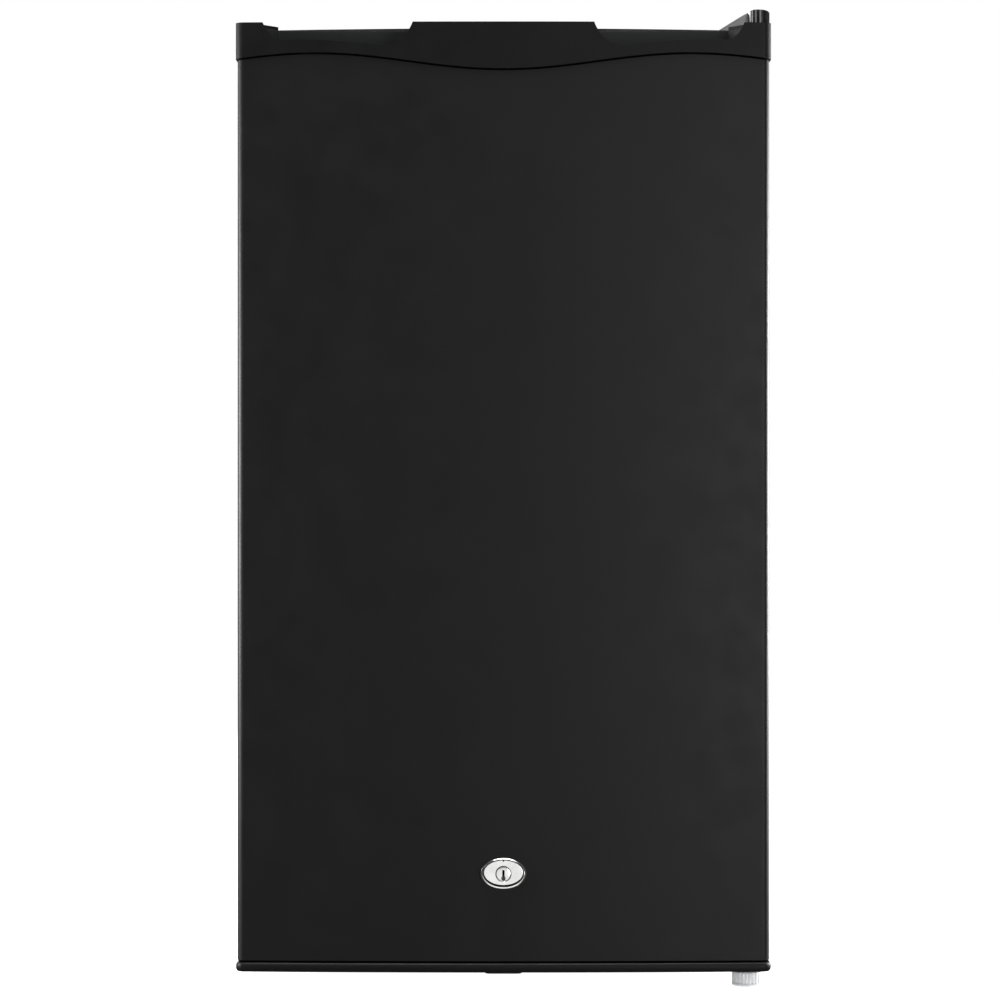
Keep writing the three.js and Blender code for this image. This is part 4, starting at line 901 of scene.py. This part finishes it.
def make_front_foot(node, body):
    """Fluted levelling foot with a rounded rim and a threaded stud."""
    low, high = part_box(node)
    x, y = (low.x + high.x) / 2, (low.y + high.y) / 2
    radius = (high.x - low.x) / 2
    knob = 13.5 * MM
    flutes, count = 26, 26 * 10
    profile = [
        (0.02 * MM, 0, 0), (0.6 * radius, 0, 0), (radius - 2.4 * MM, 0.02 * MM, 0),
        (radius - 1.1 * MM, 0.5 * MM, 0), (radius - 0.2 * MM, 1.7 * MM, 0),
        (radius - 0.2 * MM, 2.6 * MM, 0),
        (radius - 0.5 * MM, 3.2 * MM, 0.4), (radius - 0.35 * MM, 4.2 * MM, 1),
        (radius - 0.35 * MM, knob - 1.8 * MM, 1),
        (radius - 0.9 * MM, knob - 0.7 * MM, 0.7), (radius - 2.2 * MM, knob, 0),
        (0.4 * radius, knob, 0),
        (4.2 * MM, knob, 0), (4 * MM, knob + 0.4 * MM, 0),
    ]
    pitch = 1.25 * MM
    z = knob + 0.8 * MM
    while z + pitch < high.z:
        profile += [(3.45 * MM, z, 0), (4 * MM, z + pitch * 0.5, 0)]
        z += pitch
    profile += [(3.2 * MM, high.z, 0), (0.02 * MM, high.z, 0)]
    loops = []
    for reach, height, ribbed in profile:
        loop = []
        for i in range(count):
            angle = 2 * math.pi * i / count
            groove = ribbed * 0.55 * MM * (1 - abs(math.cos(flutes * angle / 2)))
            loop.append(
                (
                    x + (reach - groove) * math.cos(angle), y + (reach - groove) * math.sin(angle),
                    low.z + height
                )
            )
        loops.append(loop)
    foot = rings(node + "_detail", loops)
    piece(smooth(foot, 38), body, FOOT_PLASTIC, "foot_grey", node)


def make_feet():
    make_front_foot("front_foot_right", "right_foot")
    make_front_foot("front_foot_left", "left_foot")
    for node in ("rear_foot_left", "rear_foot_right"):
        keep_node(node, BLACK_RUBBER, width=1 * MM, segments=3)


# --------------------------------------------------------------------- cabinet


def make_worktop():
    low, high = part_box("worktop")
    cover_low, cover_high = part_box("hinge_cover")
    outline = rounded_rectangle((low.x, high.x), (low.y, high.y), 12 * MM, 10)
    slab = prism("worktop_slab", outline, "z", low.z, high.z)
    hollow = block(
        "hollow", (low.x + 0.004, high.x - 0.004), (low.y + 0.004, high.y - 0.004),
        (low.z - 0.01, high.z - 0.004)
    )
    keep = block(
        "keep", (cover_low.x - 0.005, high.x + 0.01), (low.y - 0.01, cover_high.y + 0.008),
        (low.z - 0.02, high.z + 0.01)
    )
    boolean(hollow, [keep])
    nook = block(
        "nook", (cover_low.x - 0.001, high.x + 0.01), (low.y - 0.01, cover_high.y + 0.004),
        (low.z - 0.02, high.z + 0.01)
    )
    boolean(slab, [hollow, nook])
    piece(soften(slab, 3.2 * MM, 5, 34), "cabinet", WORKTOP_PLASTIC, "cap", "worktop")


def make_cabinet():
    make_worktop()
    keep_node("cabinet_wrap", WRAP_PAINT, width=0.8 * MM, segments=3)
    keep_node("back_panel", WRAP_PAINT, width=0.3 * MM)
    keep_node("compressor_bay_panel", ZINC, width=0.3 * MM)
    keep_node("base_pan", ZINC, width=0.4 * MM)
    keep_node("inner_liner", WHITE_LINER, width=1.6 * MM, segments=3)
    keep_node("insulation_foam", FOAM, width=0)
    keep_node("cord_gland", BLACK_RUBBER, width=0.4 * MM)


# ----------------------------------------------------------------- door, inside


def make_gasket():
    """A soft seal: two lips with a pleat between them, mitred at the corners."""
    low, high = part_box("door_gasket")
    wide = 15 * MM
    deep = high.y - low.y
    section = [
        (0, 0), (0, 0.30), (0.10, 0.42), (0.04, 0.55), (0.08, 0.70), (0.2, 0.9), (0.34, 1.0),
        (0.66, 1.0),
        (0.8, 0.9), (0.92, 0.70), (0.96, 0.55), (0.88, 0.42), (1, 0.30), (1, 0),
    ]
    loops = []
    for across, along in section:
        inset = across * wide
        left, right = low.x + inset, high.x - inset
        bottom, top = low.z + inset, high.z - inset
        loop = rounded_rectangle((left, right), (bottom, top), max(18 * MM - inset, 2 * MM), 6)
        loops.append([(x, low.y + along * deep, z) for x, z in loop])
    loops.append(loops[0])
    seal = rings("door_seal", loops, cap_start=False, cap_end=False)
    piece(smooth(seal, 55), "door", SEAL_RUBBER, "rubber", "door_gasket")


def tray_walls(name, x, y, z, wall, corner, taper, bead):
    """An open tray: rounded plan, walls that lean outwards and a rim bead."""
    def loop(inset, height):
        plan = rounded_rectangle(
            (x[0] + inset, x[1] - inset),
            (y[0] + inset, y[1] - inset),
            max(corner - inset, 1 * MM),
            8,
        )
        return [(u, v, height) for u, v in plan]

    bottom, top = z
    loops = [
        loop(taper + 2.5 * MM, bottom), loop(taper + 0.6 * MM, bottom + 0.8 * MM),
        loop(taper, bottom + 2.5 * MM)
    ]
    loops += [
        loop(bead, top - 3 * MM),
        loop(0.2 * bead, top - 2.2 * MM),
        loop(0, top - 1 * MM),
        loop(0.5 * bead, top),
        loop(bead + 0.8 * wall, top),
    ]
    rim = bead + wall
    loops += [
        loop(rim, top - 0.5 * MM), loop(taper + wall, bottom + wall + 2 * MM),
        loop(taper + wall + 2 * MM, bottom + wall),
    ]
    return rings(name, loops)


def make_racks():
    for node in ("upper_rack", "middle_rack", "bottle_rack"):
        low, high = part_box(node)
        x, y, z = (low.x, high.x), (low.y, high.y), (low.z, high.z)
        rack = tray_walls(node + "_shell", x, y, z, 2.5 * MM, 12 * MM, 1.4 * MM, 1.6 * MM)
        piece(smooth(rack, 42), "door", CLEAR_BLUE, "clear_plastic", node)
        rail_z = high.z - 12 * MM
        rail = block(
            "rail", (low.x + 14 * MM, high.x - 14 * MM), (high.y - 1.9 * MM, high.y - 0.3 * MM),
            (rail_z - 7 * MM, rail_z)
        )
        piece(soften(rail, 0.5 * MM, 3), "door", WHITE_MOULDING, "white")


def make_door_edges():
    """Black strips that close the door's sides between the outer sheet and the liner."""
    liner_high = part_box("door_liner")[1]
    y = (skin_high.y + 0.05 * MM, skin_high.y + 2 * MM)
    z = (skin_low.z + 0.5 * MM, skin_high.z - 26 * MM)
    x = (liner_high.x + 0.15 * MM, skin_high.x - 0.1 * MM)
    strips = [block("strip", x, y, z), block("strip", (-x[1], -x[0]), y, z)]
    piece(soften(joined("door_edge_strips", strips), 0.4 * MM, 2), "door", BLACK_MOULDING, "cap")


def make_door_inside():
    make_gasket()
    make_door_edges()
    make_racks()
    keep_node("door_liner", WHITE_LINER, width=2.2 * MM, segments=4)
    keep_node("door_foam", FOAM, width=0)


# -------------------------------------------------------------- cabinet, inside


def make_shelves():
    for node in ("upper_shelf", "lower_shelf", "crisper_cover"):
        keep_node(node, SHELF_GLASS, width=0.8 * MM, segments=3)
        low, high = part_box(node)
        trim = block(
            "trim", (low.x + 0.3 * MM, high.x - 0.3 * MM), (low.y - 1.6 * MM, low.y + 9 * MM),
            (low.z - 1.6 * MM, high.z + 1.6 * MM)
        )
        groove = block(
            "groove", (low.x - 1 * MM, high.x + 1 * MM), (low.y - 0.1 * MM, low.y + 0.02),
            (low.z - 0.1 * MM, high.z + 0.1 * MM)
        )
        boolean(trim, [groove])
        trim.name = node + "_trim"
        piece(soften(trim, 0.7 * MM, 3), "cabinet", WHITE_MOULDING, "white")


def make_crisper():
    low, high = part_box("crisper_drawer")
    x, y = (low.x, high.x), (low.y, high.y)
    drawer = tray_walls("crisper_shell", x, y, (low.z, high.z), 2.5 * MM, 14 * MM, 5 * MM, 3 * MM)
    piece(smooth(drawer, 42), "crisper", CLEAR_BLUE, "clear_plastic", "crisper_drawer")
    grip = block(
        "crisper_grip", (-70 * MM, 70 * MM), (low.y + 0.2 * MM, low.y + 6.4 * MM),
        (high.z - 30 * MM, high.z - 12 * MM)
    )
    scoop = block(
        "scoop", (-64 * MM, 64 * MM), (low.y + 2.2 * MM, low.y + 8 * MM),
        (high.z - 40 * MM, high.z - 15 * MM)
    )
    boolean(grip, [scoop])
    piece(soften(grip, 1 * MM, 3), "crisper", WHITE_MOULDING, "white")


def make_freezer():
    keep_node("evaporator_box", ALUMINIUM, width=1.2 * MM, segments=3)
    keep_node("freezer_frame", WHITE_MOULDING, width=1 * MM, segments=3)
    low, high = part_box("evaporator_box")
    channel = []
    runs = 7
    inner_top = high.z - 1.7 * MM
    for i in range(runs):
        y = low.y + 30 * MM + i * (high.y - low.y - 60 * MM) / (runs - 1)
        ends = (-0.16, 0.16) if i % 2 == 0 else (0.16, -0.16)
        channel += [(ends[0], y, inner_top), (ends[1], y, inner_top)]
    serpentine = tube("evaporator_channel", channel, 2.4 * MM, 12)
    piece(serpentine, "cabinet", ALUMINIUM, "aluminium")

    low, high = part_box("freezer_flap")
    flap = block("flap", (low.x, high.x - 3 * MM), (low.y + 1.2 * MM, high.y), (low.z, high.z))
    panel = block(
        "panel", (low.x + 9 * MM, high.x - 12 * MM), (low.y, low.y + 1.9 * MM),
        (low.z + 9 * MM, high.z - 9 * MM)
    )
    soften(panel, 0.8 * MM, 3)
    apply_modifiers(panel)
    ribs = [
        block(
            "rib", (low.x + 22 * MM, high.x - 60 * MM), (low.y, low.y + 1 * MM),
            (z - 0.9 * MM, z + 0.9 * MM)
        )
        for z in [low.z + 26 * MM + i * 9 * MM for i in range(9)]
    ]
    barrel = lathe(
        "barrel", [
            (0, low.z + 1 * MM), (2.7 * MM, low.z + 1 * MM), (2.7 * MM, high.z - 1 * MM),
            (0, high.z - 1 * MM)
        ],
        "z", (high.x - 3 * MM, high.y - 2.85 * MM, 0), 32,
    )
    boolean(panel, ribs)
    boolean(flap, [panel, barrel], "UNION")
    pull = block(
        "pull", (low.x + 8 * MM, low.x + 12 * MM), (low.y - 1 * MM, low.y + 3 * MM),
        (low.z + 35 * MM, high.z - 35 * MM)
    )
    boolean(flap, [pull])
    flap.name = "freezer_flap_moulding"
    piece(soften(flap, 0.5 * MM, 2), "freezer_door", WHITE_MOULDING, "white", "freezer_flap")

    low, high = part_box("drip_tray")
    tray = tray_walls(
        "drip_tray_shell", (low.x, high.x), (low.y, high.y), (low.z, high.z), 1.5 * MM, 10 * MM, 3 * MM,
        2.4 * MM
    )
    piece(smooth(tray, 42), "melt_tray", WHITE_MOULDING, "white", "drip_tray")


def make_thermostat():
    keep_node("thermostat_housing", WHITE_MOULDING, width=3 * MM, segments=4)
    low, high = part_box("thermostat_knob")
    y, z = (low.y + high.y) / 2, (low.z + high.z) / 2
    radius = (high.y - low.y) / 2
    deep = high.x - low.x
    profile = [
        (0.02 * MM, 0, 0), (radius * 0.62, 0, 0), (radius * 0.78, 0.6 * MM, 0),
        (radius - 1.2 * MM, 3.5 * MM, 0.3),
        (radius - 0.6 * MM, 6 * MM, 1), (radius - 0.5 * MM, deep * 0.55, 1),
        (radius - 0.3 * MM, deep * 0.62, 0),
        (radius, deep * 0.68, 0), (radius, deep * 0.76, 0), (radius - 0.8 * MM, deep * 0.8, 0),
        (radius * 0.5, deep * 0.82, 0), (radius * 0.5, deep, 0), (0.02 * MM, deep, 0),
    ]
    count = 18 * 10
    loops = []
    for reach, along, ribbed in profile:
        loop = []
        for i in range(count):
            angle = 2 * math.pi * i / count
            groove = ribbed * 0.8 * MM * (1 - abs(math.cos(9 * angle)))
            loop.append(
                (
                    low.x + along, y + (reach - groove) * math.cos(angle),
                    z + (reach - groove) * math.sin(angle)
                )
            )
        loops.append(loop)
    knob = rings("thermostat_knob_detail", loops)
    piece(smooth(knob, 40), "thermostat_dial", WHITE_MOULDING, "white", "thermostat_knob")
    mark = block(
        "thermostat_index", (low.x - 0.02 * MM, low.x + 0.5 * MM), (y - 0.7 * MM, y + 0.7 * MM),
        (z + 2 * MM, z + radius * 0.6)
    )
    piece(soften(mark, 0.1 * MM, 1), "thermostat_dial", PRINT_GREY, "black_steel")
    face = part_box("thermostat_housing")[0].x
    ticks = []
    for i in range(8):
        angle = math.radians(-120 + i * 270 / 7 - 15)
        reach = radius + 4.5 * MM + (1.2 * MM if i in (0, 7) else 0)
        ticks.append(
            lathe(
                "tick", [
                    (0, face - 0.25 * MM), (0.9 * MM, face - 0.25 * MM), (0.9 * MM, face + 0.4 * MM),
                    (0, face + 0.4 * MM)
                ],
                "x", (0, y + reach * math.sin(angle), z + reach * math.cos(angle)), 16,
            )
        )
    piece(smooth(joined("thermostat_scale", ticks)), "cabinet", PRINT_GREY, "black_steel")


# ------------------------------------------------------------- compressor, rear


def make_compressor():
    """A domed steel can with a rolled seam, set on its plate with four rubber grommets."""
    low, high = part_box("compressor")
    x, y = (low.x + high.x) / 2, (low.y + high.y) / 2
    half_x, half_y = (high.x - low.x) / 2, (high.y - low.y) / 2
    tall = high.z - low.z
    seam = tall * 0.56
    steps = []
    for i in range(9):
        angle = math.pi / 2 * i / 8
        steps.append((0.93 - 0.55 * (1 - math.sin(angle)) ** 1.6, 24 * MM * (1 - math.cos(angle))))
    steps += [
        (0.945, seam - 3 * MM), (0.96, seam - 2.2 * MM), (1.0, seam - 1.4 * MM), (1.0, seam + 1.4 * MM),
        (0.96, seam + 2.2 * MM), (0.95, seam + 3 * MM),
    ]
    for i in range(1, 13):
        angle = math.pi / 2 * i / 12
        steps.append(
            (0.94 * max(math.cos(angle), 0.003) ** 0.62, tall - 34 * MM * (1 - math.sin(angle)))
        )
    count = 72
    loops = []
    for share, height in steps:
        loop = []
        for i in range(count):
            angle = 2 * math.pi * i / count
            c, s = math.cos(angle), math.sin(angle)
            loop.append((
                x + half_x * share * math.copysign(abs(c) ** 0.86, c),
                y + half_y * share * math.copysign(abs(s) ** 0.86, s),
                low.z + height,
            ))
        loops.append(loop)
    can = rings("compressor_can", loops)
    piece(smooth(can, 50), "cabinet", BLACK_STEEL, "black_steel", "compressor")
    keep_node("compressor_plate", BLACK_STEEL, width=0.5 * MM)
    keep_node("terminal_cover", BLACK_MOULDING, width=2.5 * MM, segments=4)
    for number in range(1, 5):
        node = f"compressor_grommet_{number}"
        g_low, g_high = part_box(node)
        radius = (g_high.x - g_low.x) / 2
        middle = (g_low + g_high) / 2
        tall_g = g_high.z - g_low.z
        profile = [
            (0, 0), (radius - 0.8 * MM, 0), (radius, 0.8 * MM), (radius, 0.3 * tall_g),
            (radius * 0.74, 0.42 * tall_g),
            (radius * 0.74, 0.58 * tall_g), (radius, 0.7 * tall_g), (radius, tall_g - 0.8 * MM),
            (radius - 0.8 * MM, tall_g), (0, tall_g),
        ]
        grommet = lathe(node + "_detail", profile, "z", (middle.x, middle.y, g_low.z), 40)
        piece(smooth(grommet, 35), "cabinet", BLACK_RUBBER, "rubber", node)
    keep_node("condensate_tray", BLACK_MOULDING, width=1 * MM, segments=3)
    keep_node("drain_tube", WHITE_MOULDING, width=0.4 * MM)
    d_low, d_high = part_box("filter_drier")
    radius = (d_high.x - d_low.x) / 2
    tall_d = d_high.z - d_low.z
    profile = [
        (0, 0), (1.8 * MM, 0), (2 * MM, 7 * MM), (radius * 0.7, 11 * MM), (radius, 16 * MM),
        (radius, tall_d - 16 * MM),
        (radius * 0.7, tall_d - 11 * MM), (2 * MM, tall_d - 7 * MM), (1.8 * MM, tall_d), (0, tall_d),
    ]
    middle = (d_low + d_high) / 2
    drier = lathe("filter_drier_detail", profile, "z", (middle.x, middle.y, d_low.z), 40)
    piece(smooth(drier, 35), "cabinet", COPPER, "copper", "filter_drier")
    keep_node("suction_tube", COPPER, width=0)


def make_condenser():
    """The black tube grid with its upright wires, welded front and back."""
    keep_node("condenser_coil", BLACK_STEEL, width=0)
    keep_node("condenser_bracket_left", BLACK_STEEL, width=0.4 * MM)
    keep_node("condenser_bracket_right", BLACK_STEEL, width=0.4 * MM)
    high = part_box("condenser_coil")[1]
    bracket_x = 150.5 * MM
    bracket_clear = 5.5 * MM
    wire_bottom = 312 * MM
    tube_radius = 2.5 * MM
    wire = 0.8 * MM
    bottom, top = wire_bottom, high.z + 6 * MM
    centre = high.y - tube_radius
    wires = []
    spacing = 9.2 * MM
    count = 37
    for i in range(count):
        x = (i - (count - 1) / 2) * spacing
        if abs(abs(x) - bracket_x) < bracket_clear:
            continue
        y = centre - tube_radius - wire * 0.85
        loop_start = [(x + u, y + v, bottom) for u, v in circle(wire, 8)]
        loop_end = [(x + u, y + v, top) for u, v in circle(wire, 8)]
        wires.append(rings("wire", [loop_start, loop_end]))
    grid = joined("condenser_wires", wires)
    piece(smooth(grid, 60), "cabinet", BLACK_STEEL, "black_steel")


# ---------------------------------------------------------------------- camera


def look(thing, target):
    thing.rotation_euler = (Vector(target) - thing.location).to_track_quat("-Z", "Y").to_euler()


def make_camera():
    data = bpy.data.cameras.new("camera")
    data.sensor_width = 36
    data.lens = 123.3
    data.clip_end = 50
    camera = bpy.data.objects.new("camera", data)
    camera.location = (-3 * MM, DOOR_FRONT + DOOR_BOW - 3.0, 0.4316)
    camera.rotation_euler = (math.radians(90), 0, 0)
    COLLECTION.objects.link(camera)
    bpy.context.scene.camera = camera


def area_light(name, location, target, size, energy, color=(1, 1, 1)):
    data = bpy.data.lights.new(name, "AREA")
    data.shape = "RECTANGLE"
    data.size, data.size_y = size
    data.energy = energy
    data.color = color
    light = bpy.data.objects.new(name, data)
    light.location = location
    look(light, target)
    COLLECTION.objects.link(light)
    return light


def shine_on(light, name, things):
    """Limits a light to some of the pieces."""
    lit = bpy.data.collections.get(name)
    if lit is None:
        lit = bpy.data.collections.new(name)
        for thing in things:
            lit.objects.link(thing)
    light.light_linking.receiver_collection = lit


def keep_off(light, name, things):
    """Keeps a light off some of the pieces."""
    unlit = bpy.data.collections.new(name)
    for thing in things:
        unlit.objects.link(thing)
    for member in unlit.collection_objects:
        member.light_linking.link_state = "EXCLUDE"
    light.light_linking.receiver_collection = unlit


def make_light():
    world = bpy.data.worlds.new("studio")
    world.use_nodes = True
    bpy.context.scene.world = world
    tree = world.node_tree
    soft = tree.nodes["Background"]
    soft.inputs["Color"].default_value = (0.97, 0.98, 1, 1)
    soft.inputs["Strength"].default_value = 0.07
    white = tree.nodes.new("ShaderNodeBackground")
    white.inputs["Color"].default_value = (1, 1, 1, 1)
    white.inputs["Strength"].default_value = 1.0
    mix = tree.nodes.new("ShaderNodeMixShader")
    path = tree.nodes.new("ShaderNodeLightPath")
    tree.links.new(path.outputs["Is Camera Ray"], mix.inputs["Fac"])
    tree.links.new(soft.outputs["Background"], mix.inputs[1])
    tree.links.new(white.outputs["Background"], mix.inputs[2])
    tree.links.new(mix.outputs["Shader"], tree.nodes["World Output"].inputs["Surface"])

    middle = (0, DOOR_FRONT, 0.45)
    area_light("key_right", (1.35, -2.9, 0.44), middle, (0.8, 1.5), 16)
    area_light("fill_left", (-2.2, -1.9, 1.9), (-0.1, DOOR_FRONT, 0.7), (0.9, 0.9), 1)
    area_light("side_left", (-2.6, 0.4, 1.2), (0, 0, 0.45), (1.2, 1.2), 16)
    shine_on(area_light("lock_card", (0, -3.3, -0.4), LOCK, (3.2, 2.2), 21), "lock_lit", for_lock)
    shine_on(area_light("lock_under", (0, -1.1, -1.1), LOCK, (1.6, 1.0), 6), "lock_lit", for_lock)
    shine_on(
        area_light("hinge_card", (0.42, -3.4, 1.36), (0.2, -0.17, 0.85), (0.9, 0.6), 6), "hinge_lit",
        for_hinge
    )
    shine_on(
        area_light("hinge_left", (-1.6, -1.8, 1.4), (0.2, -0.2, 0.86), (0.8, 0.8), 5), "hinge_lit",
        for_hinge
    )
    lip_card = area_light(
        "lip_card", (0, DOOR_FRONT + 0.02, 1.7), (0, DOOR_FRONT + 0.02, DOOR_TOP), (0.6, 0.06), 9
    )
    shine_on(lip_card, "lip_lit", for_lip)
    area_light("rim_right", (1.25, 0.35, 0.5), (0.2, -0.2, 0.48), (0.3, 0.6), 36)
    rim_left = area_light("rim_left", (-1.3, -0.28, 0.47), (-0.2, -0.2, 0.45), (0.16, 0.4), 15)
    keep_off(rim_left, "rim_left_unlit", for_lock)
    area_light("top", (0.1, -0.4, 2.3), (0, -0.15, 0.85), (1.6, 0.8), 38)
    area_light("behind", (-0.8, 2.6, 1.4), (0, 0.2, 0.4), (1.6, 1.6), 30)

    floor = new_object("floor", [(-8, -8, 0), (8, -8, 0), (8, 8, 0), (-8, 8, 0)], [(0, 1, 2, 3)])
    pale = Shader(
        "floor_white", (0.9, 0.9, 0.9), 0.7, emission_color=(1, 1, 1, 1), emission_strength=1.0
    )
    floor.data.materials.append(pale.done())
    floor.visible_glossy = False
    floor.visible_shadow = False
    floor.location.z = -0.2 * MM
    scene = bpy.context.scene
    scene.view_settings.view_transform = "Standard"
    scene.view_settings.look = "None"


make_camera()
make_panel()
make_top_cap()
make_bottom_cap()
make_lock()
make_hinge_cover()
make_hinges()
make_feet()
make_cabinet()
make_door_inside()
make_shelves()
make_crisper()
make_freezer()
make_thermostat()
make_compressor()
make_condenser()
make_light()
